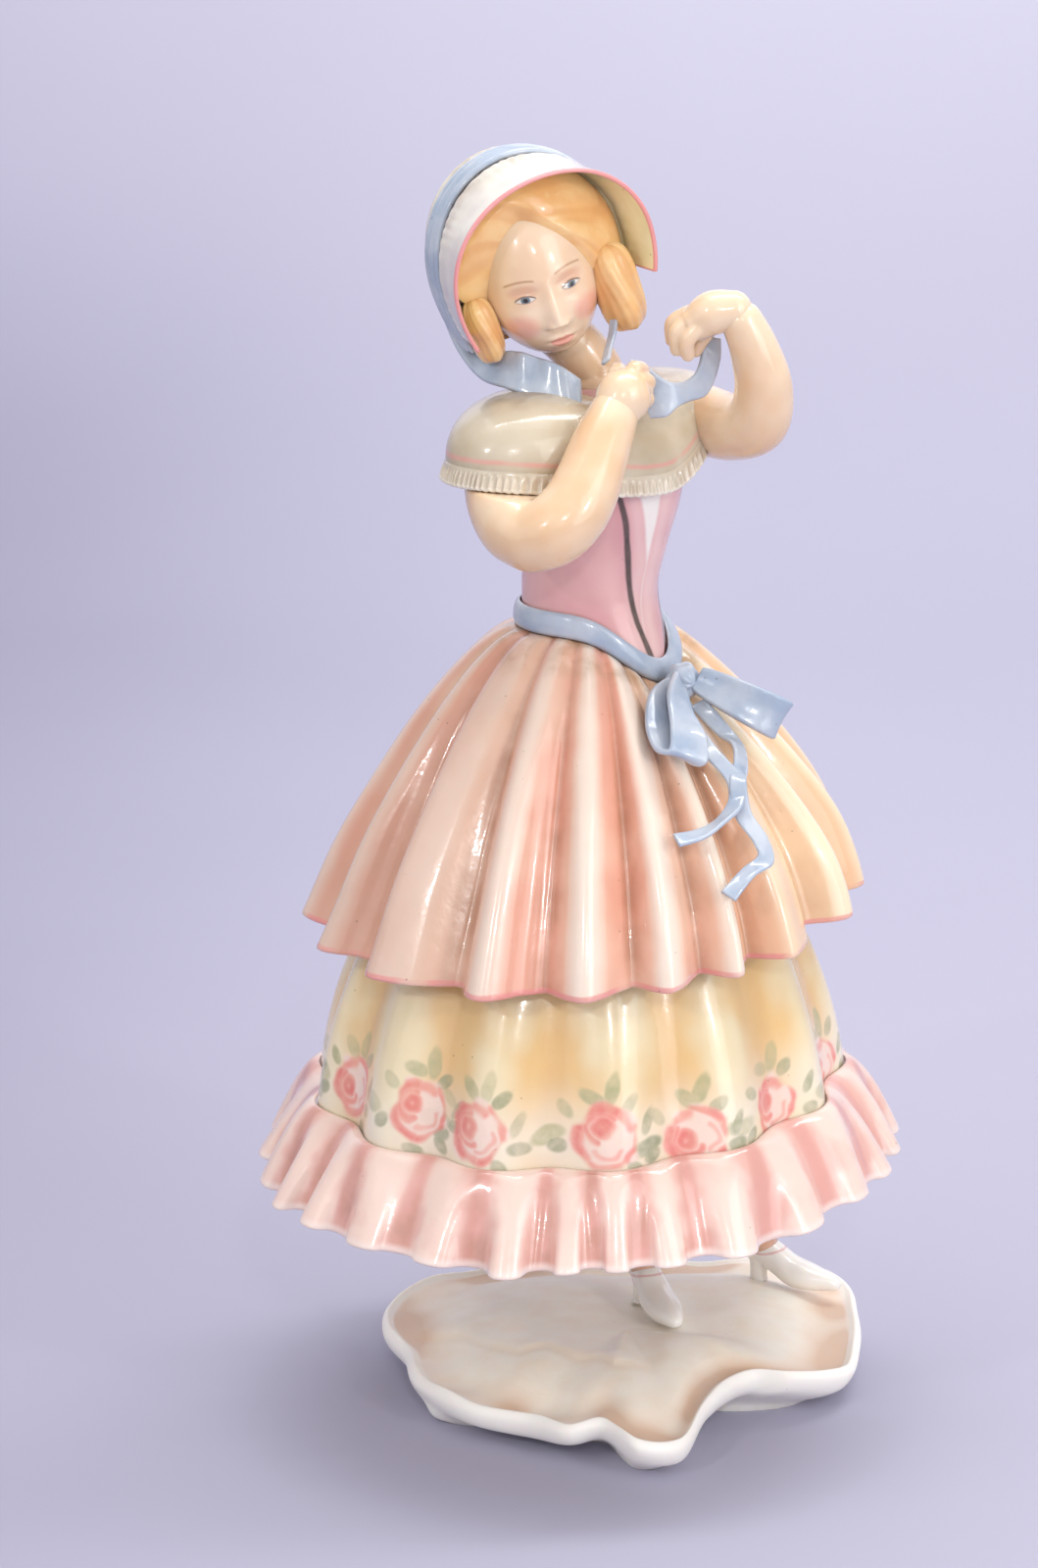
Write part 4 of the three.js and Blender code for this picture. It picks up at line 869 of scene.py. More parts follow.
def make_overskirt(columns=1190, rows=88):
    turn = np.linspace(0, 360, columns, endpoint=False)[None]
    share = np.linspace(0, 1, rows)[:, None] ** 1.15
    outer = overskirt_point(turn, share, fine=1)
    inner = overskirt_point(turn, share, OVERSKIRT_WALL * (1 - 0.3 * share), fine=1)
    wave = pleat_wave(turn, share) * np.ones_like(share)
    along, pleat = pleat_share(turn * np.ones_like(share))
    fields = shell_fields(
        rows,
        wave=wave,
        down=share * np.ones_like(turn),
        shadow=bump(along, 0.62 - 0.06 * np.sin(pleat * 2.4), 0.15),
        warm=smoothstep(cosd(turn - 38), 0.5, 0.93) * np.ones_like(share),
        # Painted shade: a field that darkens her right side
        dim=bump(turn_between(-108, turn), 0, 42) * np.ones_like(share),
        streak=0.5 + 0.25 * (sind(7 * turn + 57 + 50 * share) + sind(11 * turn + 120 - 60 * share) + 0.8 * sind(19 * turn + 80 * share)),
    )
    return grid_piece("pleated_overskirt", shell_rows(outer, inner), looped=True, fields=fields)


def overskirt_paint(brush):
    wave, down, warm, streak = (brush.field(name) for name in ("wave", "down", "warm", "streak"))
    cloud = brush.noise(10, 2)
    valley = (1 - wave) * 0.5
    peach = brush.mix("efcbb4", "e6a892", (streak + (cloud - 0.5) * 0.8).step(0.1, 0.9))
    peach = brush.mix(peach, "efcb9c", warm * 0.7)
    cream = brush.mix("f1dfd0", "f3e2c4", warm)
    colour = brush.mix(cream, peach, (valley * 1.0 + streak * 0.35 + (cloud - 0.5) * 0.3).step(0.08, 0.8))
    # Painted shade over her right side, in a brownish tone
    colour = brush.mix(colour, "b08069", brush.field("dim") * 0.45)
    brown = brush.field("shadow") * brush.noise(9, 3).step(0.25, 0.7) * down.step(0.02, 0.3) * (1 - warm * 0.5)
    colour = brush.mix(colour, "b07a5c", brown * 0.65)
    smudge = down.near(0.02, 0.05) * brush.noise(6, 4).step(0.4, 0.66)
    colour = brush.mix(colour, "a8835f", smudge * 0.7)
    edge = (down + brush.noise(3, 2) * 0.008).step(0.989, 0.997)
    colour = brush.mix(colour, "e58f8c", edge * brush.noise(9, 2).step(0.32, 0.55) * 0.75)
    return brush.mix(colour, "d8b79a", brush.field("inside").step(0.4, 0.9) * 0.6)


UNDERSKIRT_TOP = -UNDERSKIRT_TOP_DROP
UNDERSKIRT_HEM = UNDERSKIRT_TOP - UNDERSKIRT_LENGTH


def underskirt_wave(turn):
    return cosd(UNDERSKIRT_FOLDS * (turn + 10))


def skirt_tilt(turn):
    return UNDERSKIRT_TILT * cosd(turn - SKIRT_HIGH_SIDE)


def underskirt_point(turn, share, wall=0.0):
    fold = UNDERSKIRT_FOLD * smoothstep(share, 0.1, 0.9) * underskirt_wave(turn)
    spread = bell(share, 0.93 - 0.07 * cosd(turn - FIGURE_TURN))
    radius = lerp(UNDERSKIRT_TOP_RADIUS, UNDERSKIRT_RADIUS, spread) + fold - wall
    tilt = share * skirt_tilt(turn)
    return hang(turn, radius, lerp(UNDERSKIRT_TOP, UNDERSKIRT_HEM, share) + tilt - wall * (1 - share))


# Where the roses are painted: the angle and the height above the hem
ROSES = [
    (-109, 11.8), (-84, 12.8), (-68, 11.6), (-40, 11.2), (-19, 8.8), (4, 9.4), (33, 8.6), (60, 10), (88, 11.4),
    (117, 10.2), (146, 11.6), (175, 10.4), (203, 11.8), (230, 10.6),
]
ROSE_SIZE = 5.3
# Brush strokes of a rose, in shares of its size: middle across and up, radius, first and last angle, half
# width and strength.
ROSE_STROKES = [
    (-0.28, 0.18, 0.12, -180, 180, 0.16, 1),
    (-0.26, 0.12, 0.42, 80, 290, 0.11, 0.75),
    (0, 0, 0.84, 110, 200, 0.2, 0.9),
    (0, -0.02, 0.84, 205, 262, 0.17, 0.8),
    (0.02, -0.02, 0.86, 275, 335, 0.12, 0.9),
    (0.04, 0.04, 0.82, -15, 50, 0.1, 0.7),
    (0.12, -0.1, 0.45, 250, 370, 0.09, 0.4),
    (-0.05, 0.1, 0.66, 50, 100, 0.16, 0.55),
]
# Leaves round a rose, in millimetres: middle across and up, angle, half length, half width and darkness.
ROSE_LEAVES = [
    (-9.6, 0.2, 5, 3.4, 1.6, 0.2), (-7.4, -1.8, 20, 1.9, 1.3, 0.9), (-6, 4, 140, 2, 1.1, 0.4),
    (-1.6, 6.3, 150, 2.4, 1.2, 0.35), (1.2, 7.2, 80, 2.8, 1.3, 0.3), (3.6, 5.2, 45, 1.9, 1.1, 0.8),
    (7, 1.6, 60, 2.2, 1, 0.75), (7.2, -1.8, 10, 1.9, 1.2, 0.9), (4.6, -5.2, -40, 1.8, 1.1, 0.85),
    (-0.6, -6.3, 175, 2, 1, 0.8),
]


def rose_fields(turn, height, radius):
    """Fields for the painted roses and leaves: how strong each is, and how dark."""
    rng = np.random.default_rng(4)
    done = {name: np.zeros(turn.shape) for name in ("rose", "bloom", "leaf", "shade")}
    smear = 0.1 * ripple(turn * 0.77, height, 0, 3.1, 21)
    for at, up in ROSES:
        x, y = np.radians(turn_between(at, turn)) * radius, height - up
        close = np.maximum(np.abs(x), np.abs(y)) < 14
        x, y, rough = x[close], y[close], smear[close]
        spin = rng.uniform(-50, 50)
        size = ROSE_SIZE * rng.uniform(0.92, 1.08)
        u, v = (x * cosd(spin) + y * sind(spin)) / size, (y * cosd(spin) - x * sind(spin)) / size
        angle = np.degrees(np.arctan2(v, u))
        edge = 0.98 + 0.07 * cosd(5 * angle + rng.uniform(0, 360)) + 0.04 * cosd(3 * angle) + rough
        rose = 1 - smoothstep(np.hypot(u, v), edge - 0.16, edge + 0.06)
        bloom = np.zeros_like(x)
        for across, rise, reach, first, last, width, strength in ROSE_STROKES:
            du, dv = u - across, v - rise
            middle, half = (first + last) / 2, (last - first) / 2
            off = np.abs(turn_between(middle, np.degrees(np.arctan2(dv, du))))
            ends = 1 - smoothstep(off, half, half + 24)
            stroke = bump(np.hypot(du, dv) + rough * 0.7, reach, width * 1.15) * ends * strength
            bloom = np.maximum(bloom, stroke)
        leaf, shade = np.zeros_like(x), np.zeros_like(x)
        for across, rise, lean, long, wide, dark in ROSE_LEAVES:
            lean = lean + rng.uniform(-18, 18)
            du, dv = x - across + rng.uniform(-0.6, 0.6), y - rise + rng.uniform(-0.5, 0.5)
            a, b = du * cosd(lean) + dv * sind(lean), dv * cosd(lean) - du * sind(lean)
            blade = 1 - smoothstep(np.hypot(a / long, b / wide) + rough, 0.72, 1.12)
            blade = blade * rng.uniform(0.55, 1)
            shade = np.where(blade > leaf, dark, shade)
            leaf = np.maximum(leaf, blade)
        for name, value in (("rose", rose), ("bloom", bloom), ("leaf", leaf), ("shade", shade)):
            done[name][close] = np.maximum(done[name][close], value)
    return done


def make_underskirt(columns=1300):
    turn = np.linspace(0, 360, columns, endpoint=False)[None]
    share = np.concatenate([np.linspace(0, 0.68, 60), np.linspace(0.68, 1, 106)[1:]])[:, None]
    outer = underskirt_point(turn, share)
    inner = underskirt_point(turn, share, UNDERSKIRT_WALL)
    height = (1 - share) * UNDERSKIRT_LENGTH * np.ones_like(turn)
    radius = np.hypot(outer[..., 0], outer[..., 1])
    fields = {
        "wave": underskirt_wave(turn) * smoothstep(share, 0.1, 0.9),
        "height": height,
        **rose_fields(turn * np.ones_like(share), height, radius),
    }
    done = {name: np.concatenate([value, value[::-1]]) for name, value in fields.items()}
    done["inside"] = np.concatenate([np.ones_like(height), np.zeros_like(height)])
    return grid_piece("flowered_underskirt", np.concatenate([inner, outer[::-1]]), fields=done)


def rose_paint(brush, colour):
    """Lays leaves and full-blown roses over a colour."""
    thin = brush.noise(2.4, 3).step(0.25, 0.75)
    green = brush.mix("bdb98a", "8a9272", brush.field("shade"))
    colour = brush.mix(colour, green, brush.field("leaf") * (0.5 + thin * 0.4))
    bloom = brush.field("bloom")
    petals = brush.mix("f4d9cd", "ee9d92", bloom.step(0.05, 0.55))
    petals = brush.mix(petals, "e4716c", bloom.step(0.5, 1) * 0.85)
    return brush.mix(colour, petals, brush.field("rose") * (0.72 + thin * 0.25))


def underskirt_paint(brush):
    wave, height = brush.field("wave"), brush.field("height")
    cloud = brush.noise(16, 2).step(0.3, 0.7)
    colour = brush.mix("f0dfb8", "eac386", ((1 - wave) * 0.5 + (cloud - 0.5) * 0.7).step(0, 0.85))
    colour = brush.mix(colour, "dfb27c", wave.step(-0.4, -1) * 0.5)
    colour = brush.mix(colour, "f7f1e4", height.step(22, 9) * (0.3 + cloud * 0.4))
    colour = rose_paint(brush, colour)
    return brush.mix(colour, "d9c9ae", brush.field("inside"))


def frill_turn(step):
    """Evenly stepped folds come out wider and narrower round the hem."""
    return step + 2.6 * sind(5 * step + 20) + 2.2 * sind(3 * step - 40)


def frill_wave(step, share):
    wander = 0.35 * sind(5 * step + 57) + 0.25 * sind(11 * step)
    return cosd(FRILL_FOLDS * step + share * 16 * wander)


def frill_point(step, share, wall=0.0, fine=0.0):
    turn = frill_turn(step) + fine * 0.55 * share * sind(2 * FRILL_FOLDS * step)
    level = UNDERSKIRT_HEM + FRILL_OVERLAP - share * FRILL_DEPTH
    seat_share = np.minimum((UNDERSKIRT_TOP - level) / UNDERSKIRT_LENGTH, 1)
    z = level + seat_share * skirt_tilt(turn)
    seat_point = underskirt_point(turn, seat_share) - hang(turn, 0, z)
    seat_radius = np.hypot(seat_point[..., 0], seat_point[..., 1]) + SEAT_GAP + 0.1 + FRILL_WALL
    depth = FRILL_FOLD * (0.85 + 0.25 * cosd(7 * step + 60)) * (1 - fine * 0.12 * (1 + sind(9 * step + 115)))
    fold = depth * share**0.7 * frill_wave(step, share)
    radius = lerp(seat_radius, FRILL_RADIUS - fine * 0.06, share**0.75) + fold - wall
    z = z + fine * (0.3 * sind(7 * step) + 0.25 * sind(13 * step)) * share
    return hang(turn, radius, z)


def make_frill(columns=1160, rows=36):
    step = np.linspace(0, 360, columns, endpoint=False)[None]
    share = np.linspace(0, 1, rows)[:, None]
    outer = frill_point(step, share, fine=1)
    inner = frill_point(step, share, FRILL_WALL * (1 - 0.15 * share), fine=1)
    right = smoothstep(-sind(frill_turn(step)), -0.1, 0.8) * np.ones_like(share)
    fields = shell_fields(rows, wave=frill_wave(step, share), down=share * np.ones_like(step), right=right)
    return grid_piece("hem_ruffle", shell_rows(outer, inner), looped=True, fields=fields)


def frill_paint(brush):
    wave, down = brush.field("wave"), brush.field("down")
    cloud = brush.noise(8, 2).step(0.3, 0.7)
    right = brush.field("right")
    colour = brush.mix("efd3c7", "e4b3a8", ((1 - wave) * 0.5 + (cloud - 0.5) * 0.7).step(0.1, 0.95))
    colour = brush.mix(colour, "d68d85", wave.step(-0.5, -1) * 0.45)
    # Brown patches in the deeper valleys on her right side, broken up with noise
    brown_patches = wave.step(-0.2, -1) * right * brush.noise(8, 3).step(0.35, 0.75)
    colour = brush.mix(colour, "b0806a", brown_patches * 0.6)
    colour = brush.mix(colour, "f4e2db", down.step(0.9, 0.99) * 0.7)
    return brush.mix(colour, "e3c4bb", brush.field("inside") * 0.6)


# Bodice and sash


def oval(turn, width, front, back):
    """The radius of an egg-shaped outline with its own half width and its own depths in front and behind."""
    depth = np.where(cosd(turn) > 0, front, back)
    return 1 / np.hypot(sind(turn) / width, cosd(turn) / depth)


# The painted lines of the bodice, as heights and angles
RIGHT_SEAM = [(-8, 8), (0, -4), (3.9, -8.2), (7.4, -12.6), (12, -18), (17, -24), (24, -34)]
LEFT_SEAM = [(-8, 20), (0, 37), (12, 39), (24, 41)]
PANEL_MIDDLE = [(9.5, 2), (23, -8), (31, -14)]
PANEL_HALF = [(9.5, 0), (23, 10), (31, 16)]


def make_bodice(columns=360, rows=170):
    turn = np.linspace(-180, 180, columns, endpoint=False)
    below, waist = overskirt_top(turn), waist_radius(turn)
    stations = [
        waist_point(turn, WAIST_RADIUS - OVERSKIRT_WALL - SEAT_GAP, UNDERSKIRT_TOP + SEAT_GAP),
        waist_point(turn, waist - OVERSKIRT_WALL - SEAT_GAP, below - 0.6),
        waist_point(turn, waist - OVERSKIRT_WALL - SEAT_GAP, below + SEAT_GAP),
        waist_point(turn, waist - SEAT_GAP, below + SEAT_GAP + 0.2),
        waist_point(turn, waist - SEAT_GAP, waist_height(turn) + SASH_WIDTH / 2),
    ]
    # Height, how far it follows the waist's dip, half width, and the depths in front and behind.
    torso = [
        (BODICE_HEIGHT * 0.26, 0.5, WAIST_RADIUS, 11.6, 10.8),
        (BODICE_HEIGHT * 0.46, 0.16, 12.2, 12.6, 10.4),
        (BODICE_HEIGHT * 0.66, 0.02, BUST_WIDTH - 1.2, BUST_DEPTH - 0.3, BACK_DEPTH - 0.2),
        (BODICE_HEIGHT * 0.84, 0, BUST_WIDTH, BUST_DEPTH, BACK_DEPTH),
        (BODICE_HEIGHT, 0, BUST_WIDTH, BUST_DEPTH - 2.4, BACK_DEPTH),
        (NECK_BASE_HEIGHT - 4.9, 0, BUST_WIDTH - 1.6, BUST_DEPTH - 5.2, BACK_DEPTH - 2.4),
        (NECK_BASE_HEIGHT - 1.7, 0, NECK_RADIUS + 5.9, NECK_RADIUS + 2.1, NECK_RADIUS + 2.5),
        (NECK_BASE_HEIGHT, 0, NECK_RADIUS + 1.9, NECK_RADIUS + 0.9, NECK_RADIUS + 1.9),
    ]
    for height, share, width, front, back in torso:
        radius = oval(turn - (BODICE_TURN if height < NECK_BASE_HEIGHT - 3 else 0), width, front, back)
        z = height + waist_height(turn) * share
        stations.append(waist_point(turn, radius, z, 1 - smoothstep(height, 5, 20)))
    grid = curve_through(stations, np.linspace(0, 1, rows))
    level = grid[..., 2]
    radius = np.hypot(grid[..., 0], grid[..., 1])
    seams = [np.abs(turn_between(np.interp(level, *zip(*line)), turn)) for line in (RIGHT_SEAM, LEFT_SEAM)]
    middle = np.interp(level, *zip(*PANEL_MIDDLE))
    panel = np.abs(turn_between(middle, turn)) - np.interp(level, *zip(*PANEL_HALF))
    fields = {
        "seam": np.radians(np.minimum(*seams)) * radius,
        "panel": np.radians(panel) * radius,
        "level": level,
    }
    return grid_piece("laced_bodice", grid, fields=fields)


def bodice_paint(brush):
    seam, panel = brush.field("seam"), brush.field("panel")
    cloud = brush.noise(13, 2).step(0.3, 0.7)
    colour = brush.mix("e9bab7", "dea5a6", cloud)
    colour = brush.mix(colour, "c98590", seam.near(0.4, 1.6) * 0.35)
    colour = brush.mix(colour, "f0d0cc", panel.near(1.3, 1.3) * 0.55)
    colour = brush.mix(colour, "f3ece6", panel.step(0.4, -0.5))
    stroke = (seam + (brush.noise(4, 2) - 0.5) * 0.3).near(0, 0.42)
    return brush.mix(colour, "43352f", (stroke * 1.6).least(0.95) * (0.85 + brush.noise(2, 2) * 0.25))


def make_sash_band(columns=360, rows=14):
    turn = np.linspace(0, 360, columns, endpoint=False)[None]
    share = np.linspace(0, 1, rows)[:, None]
    z = waist_height(turn) + SASH_WIDTH * (0.5 - share) + SEAT_GAP * share
    flare = share * waist_flare(turn)
    swell = (SASH_THICKNESS - 0.4 * (1 - np.sin(math.pi * share) ** 0.5)) * (1 + share * 0.4 * SASH_FLARE)
    outer = waist_point(turn, waist_radius(turn) + swell + flare, z)
    inner = waist_point(turn, waist_radius(turn) + flare, z)
    return grid_piece("waist_sash", shell_rows(outer, inner, 3), looped=True)


SASH_KNOT = (2, -18, -9.1)


def make_knot():
    def wrapped(d):
        fold = 0.05 * np.cos(5.5 * np.arctan2(d[..., 2], d[..., 0]) + 3 * d[..., 1])
        return 1 + fold

    rows, _ = egg_rows(SASH_KNOT, (2.9, 2.7, 3.2), 60, 80, wrapped)
    return grid_piece("bow_knot", rows)


def loop_breadth(u):
    """A loop is gathered at the knot and widest at its far end."""
    return lerp(SASH_RIBBON_WIDTH / 2, SASH_RIBBON_WIDTH, np.sin(math.pi * np.clip(u, 0, 1)) ** 0.6)


HANGING_LOOP = [
    (-1, -18.6, -9.7), (-5.4, -20.4, -11.2), (-9.4, -24.6, -15), (-10.9, -28.4, -17.4), (-10.4, -30.6, -17.2),
    (-8.4, -29, -14), (-5.4, -24.4, -10.4), (-1.6, -20.8, -8.1),
]


def make_hanging_loop():
    at_knot, leaving, hanging = (-0.3, 0.3, 0.9), (-0.6, 0.42, 0.68), (-0.75, 0.49, 0.37)
    lays = [at_knot, leaving, hanging, hanging, hanging, hanging, leaving, at_knot]
    return ribbon_piece("right_bow_loop", HANGING_LOOP, lays, loop_breadth, 120, cup=0.35)


STANDING_LOOP = {"from": (2.8, -19.2, -8.2), "to": (10.8, -31.8, -14.8), "lay": (-0.5, 0.18, -0.84), "puff": 2.2}


def make_standing_loop():
    start, lay = np.array(STANDING_LOOP["from"]), np.array(STANDING_LOOP["lay"])
    along = np.array(STANDING_LOOP["to"]) - start
    aside = unit(np.cross(along, lay)) * STANDING_LOOP["puff"]
    out = [(0.06, 0.45), (0.35, 0.85), (0.65, 1), (0.88, 0.8)]
    back = [(share, -side) for share, side in reversed(out)]
    path = [start + along * share + aside * side for share, side in [*out, (1, 0), *back]]
    return ribbon_piece("left_bow_loop", path, [lay] * len(path), loop_breadth, 120, cup=0.3)


TAIL_RIGHT = [
    (-1, -20.2, -11.9), (-3.2, -23.4, -14), (-3.2, -26.2, -15.8), (-4, -29.8, -17.8), (-3.2, -34.5, -21.9),
    (-5.5, -36.7, -24.8), (-9.1, -36.8, -27), (-13.1, -36.3, -28.4), (-17.1, -34.7, -29),
]
TAIL_LEFT = [
    (2.4, -20.2, -12.3), (3.9, -25, -16.6), (3.8, -28.6, -18.4), (0.6, -32.2, -20.4), (-3.2, -35.1, -21.6),
    (-4.9, -37.8, -26.3), (-3.9, -40.8, -30.4), (-4.4, -42.4, -33), (-8.1, -42, -34.7), (-12.4, -41.7, -37.8),
]


def clear_of_overskirt(point, clearance):
    """Moves a point out until it is clear of the overskirt."""
    turn = math.degrees(math.atan2(point[0], -point[1]))
    top = overskirt_top(turn)
    share = np.clip((point[2] - top) / (overskirt_hem(turn) - top), 0, 1)
    surface = overskirt_point(turn, share, -1.1)
    least = math.hypot(surface[0], surface[1]) + clearance
    reach = max(1, least / math.hypot(point[0], point[1]))
    return np.array(point) * (reach, reach, 1)


def make_tail(name, path, rolls):
    """A narrow ribbon that rolls from flat, at 0 degrees, to standing on its edge, at 90."""
    points = np.array([clear_of_overskirt(p, SASH_TAIL_WIDTH / 2 + 2 * SEAT_GAP) for p in path])
    outward = unit(xyz(points[:, 0], points[:, 1], 12))
    flat = unit(np.cross(outward, np.gradient(points, axis=0)))
    rolls = np.array(rolls)[:, None]
    return ribbon_piece(name, points, flat * cosd(rolls) + outward * sind(rolls), SASH_TAIL_WIDTH * 0.85, 160, thickness=0.7)


def blue_paint(brush):
    cloud = brush.noise(7, 3).step(0.3, 0.72)
    colour = brush.mix("bec7d4", "9fafc5", cloud)
    return brush.mix(colour, "8f9db3", brush.noise(2.5, 3).step(0.6, 0.8) * 0.35)


# Cape collar with its crimped edge, and the neck


def collar_hem(turn):
    side = sind(turn + 6)
    width = np.where(turn_between(0, turn) < 0, COLLAR_HALF_WIDTH + 4.6, COLLAR_HALF_WIDTH - 4.5)
    radius = oval(turn, width, COLLAR_HALF_DEPTH, COLLAR_HALF_DEPTH - 1.5)
    lift = np.where(side < 0, 3, 11.4) * side**2
    return around(turn, radius, COLLAR_HEIGHT - COLLAR_DROP - 2.2 + lift)


def collar_neck(turn):
    radius = oval(turn, COLLAR_NECK_WIDTH, COLLAR_NECK_DEPTH, COLLAR_NECK_DEPTH)
    return around(turn, radius, COLLAR_HEIGHT - 1.5 + 3 * sind(turn) ** 2)


def collar_point(turn, share, wall=0.0):
    neck, hem = collar_neck(turn), collar_hem(turn)
    full = np.maximum(-sind(turn), 0)
    out, down = bell(share, 0.75 + 0.25 * full), share ** (1.7 + 0.5 * full)
    point = xyz(
        lerp(neck[..., 0], hem[..., 0], out),
        lerp(neck[..., 1], hem[..., 1], out),
        lerp(neck[..., 2], hem[..., 2], down),
    )
    return point - around(turn, wall * (0.35 + 0.65 * share), 0) - xyz(0, 0, wall * (1 - share))


def collar_turn(step):
    """Evenly stepped angles crowd together over the shoulders, where the collar's edge curves most."""
    return step + 14 * sind(2 * step)


def make_collar(columns=360, rows=60):
    turn = collar_turn(np.linspace(0, 360, columns, endpoint=False)[None])
    share = np.linspace(0, 1, rows)[:, None]
    outer, inner = collar_point(turn, share), collar_point(turn, share, COLLAR_WALL)
    hem = np.linalg.norm(outer - outer[-1:], axis=-1)
    fields = shell_fields(rows, hem=hem, top=1 - share * np.ones_like(turn))
    return grid_piece("wide_collar", shell_rows(outer, inner), looped=True, fields=fields)


def collar_paint(brush):
    hem, top = brush.field("hem"), brush.field("top")
    cloud = brush.noise(12, 3).step(0.3, 0.7)
    colour = brush.mix("d0c4af", "bcac91", cloud)
    line = (hem + (brush.noise(9, 2) - 0.5) * 0.8).near(1.35, 0.34)
    colour = brush.mix(colour, "e39a92", line * brush.noise(6, 2).step(0.2, 0.5) * 0.7)
    neck_dust = top.step(0.45, 0.95) * brush.noise(4, 4).step(0.38, 0.66)
    colour = brush.mix(colour, "94795a", neck_dust * 0.75)
    return brush.mix(colour, "c9b394", brush.field("inside") * 0.8)


FRILL_RIBS = 118


def collar_frill_point(step, share, wall=0.0, rib=0.0):
    turn = collar_turn(step)
    out = around(turn, 0.25 + 0.8 * share + rib - wall, 0)
    return collar_point(turn, 1.0) + out + xyz(0, 0, -SEAT_GAP - share * COLLAR_FRILL_WIDTH)


def make_collar_frill(columns=1416, rows=18):
    step = np.linspace(0, 360, columns, endpoint=False)[None]
    share = np.linspace(0, 1, rows)[:, None]
    phase = FRILL_RIBS * step + 60 * np.sin(np.radians(step) * 9) + 45 * np.sin(np.radians(step) * 23)
    wave = 1 - 2 * np.abs(sind(phase / 2)) ** 1.4
    depth = 0.17 * smoothstep(share, 0, 0.55) * (1 + 0.35 * np.sin(np.radians(step) * 31))
    outer = collar_frill_point(step, share, 0, depth * wave - 0.1)
    outer[..., 2] = outer[..., 2] + 0.16 * share * wave
    inner = collar_frill_point(step, share, COLLAR_WALL * 0.8, depth * wave * 0.4)
    inner[..., 2] = inner[..., 2] + 0.16 * share * wave
    fields = shell_fields(rows, wave=wave * np.ones_like(share), down=share * np.ones_like(step))
    return grid_piece("crimped_edge", shell_rows(outer, inner), looped=True, fields=fields)


def collar_frill_paint(brush):
    wave, down = brush.field("wave"), brush.field("down")
    colour = brush.mix("d6ccbb", "c4b59f", brush.noise(9, 2).step(0.3, 0.7))
    groove = (wave * -0.5 + 0.5).step(0.45, 1) * down.step(0.05, 0.4)
    colour = brush.mix(colour, "b79f86", groove * brush.noise(5, 2).step(0.3, 0.7) * 0.45)
    return brush.mix(colour, "f1ebe1", down.step(0.85, 1) * 0.5)


def neck_top():
    tilted = np.array(HEAD_TILT) @ np.array([0, 1.5, -9.0])
    turn = math.radians(-FIGURE_TURN)
    c, s = math.cos(turn), math.sin(turn)
    x, y, z = tilted
    return np.array([c * x - s * y, s * x + c * y, z]) + HEAD_CENTRE


def make_neck():
    points = [(0, 0.6, NECK_BASE_HEIGHT - 0.2), (0, 0.6, NECK_BASE_HEIGHT + 2), (-1.6, 1.6, NECK_BASE_HEIGHT + 5)]
    radii = [NECK_RADIUS + 1.2, NECK_RADIUS + 0.3, NECK_RADIUS, NECK_RADIUS]
    return grid_piece("bare_neck", limb_rows([*points, neck_top()], radii, 50, 60, round_ends=False))


# Arms and hands

RIGHT_ELBOW = (-27.6, -12.6, 18.4)
RIGHT_UPPER_ARM = [(-15.6, 2, 30), (-18.8, 1.2, 29.2), (-24.4, -3, 24.4), (-27.4, -8.6, 20), RIGHT_ELBOW]
RIGHT_UPPER_RADII = [5.6, 6, 6.2, 6, 5.6]
RIGHT_FOREARM = [RIGHT_ELBOW, (-26, -16, 20), (-22.6, -17.6, 23.5), (-15.9, -16.6, 32.5), (-12.2, -15.8, 37)]
RIGHT_FOREARM_RADII = [5.6, 5.8, 5.7, 4.8, 4]
LEFT_ARM = [
    (15.2, -0.6, 31.5), (15.4, -3.4, 31.6), (14.8, -9.2, 31.5), (13.6, -17.7, 31.4), (12.7, -24, 33.5),
    (11.3, -26.4, 39.5), (8.8, -26.2, 46.5), (7.2, -25.2, 50.5),
]
LEFT_ARM_RADII = [5.6, 5.9, 5.8, 5.5, 5.2, 4.7, 3.9, 3.4]


def collar_room(reach):
    """The room taken by the collar and its edge, with the seat gap round it. A larger reach takes more outside."""
    turn = collar_turn(np.linspace(0, 360, 144, endpoint=False)[None])
    shares = np.linspace(0, 1, 13)[:, None]

    def face(wall):
        step = np.linspace(0, 360, 144, endpoint=False)[None]
        margin = 0.55 if wall < 0 else -0.55
        edge = collar_frill_point(step, 1.0, wall) + around(turn, margin, -2 * SEAT_GAP)
        return np.concatenate([collar_point(turn, shares, wall), edge])

    outer, inner = face(-reach), face(COLLAR_WALL + SEAT_GAP + 0.2)
    return grid_piece("collar_room", np.concatenate([outer, inner[::-1]]), looped=True)


def make_right_arm():
    upper = grid_piece("upper_arm", limb_rows(RIGHT_UPPER_ARM, RIGHT_UPPER_RADII, 60, 48))
    carve(upper, collar_room(7))
    fore = limb_rows(RIGHT_FOREARM, RIGHT_FOREARM_RADII, 60, 48)
    return fuse("bent_right_arm", [upper, fore], 0.34, 14)


def make_left_arm():
    return fuse("raised_left_arm", [limb_rows(LEFT_ARM, LEFT_ARM_RADII, 90, 48)], 0.34, 8)


def make_hand(name, palm, palm_radii, fingers):
    parts = [limb_rows(palm, palm_radii, 40, 40)]
    parts += [limb_rows(path, radii, 30, 24) for path, radii in fingers]
    return fuse(name, parts, 0.2, 7)


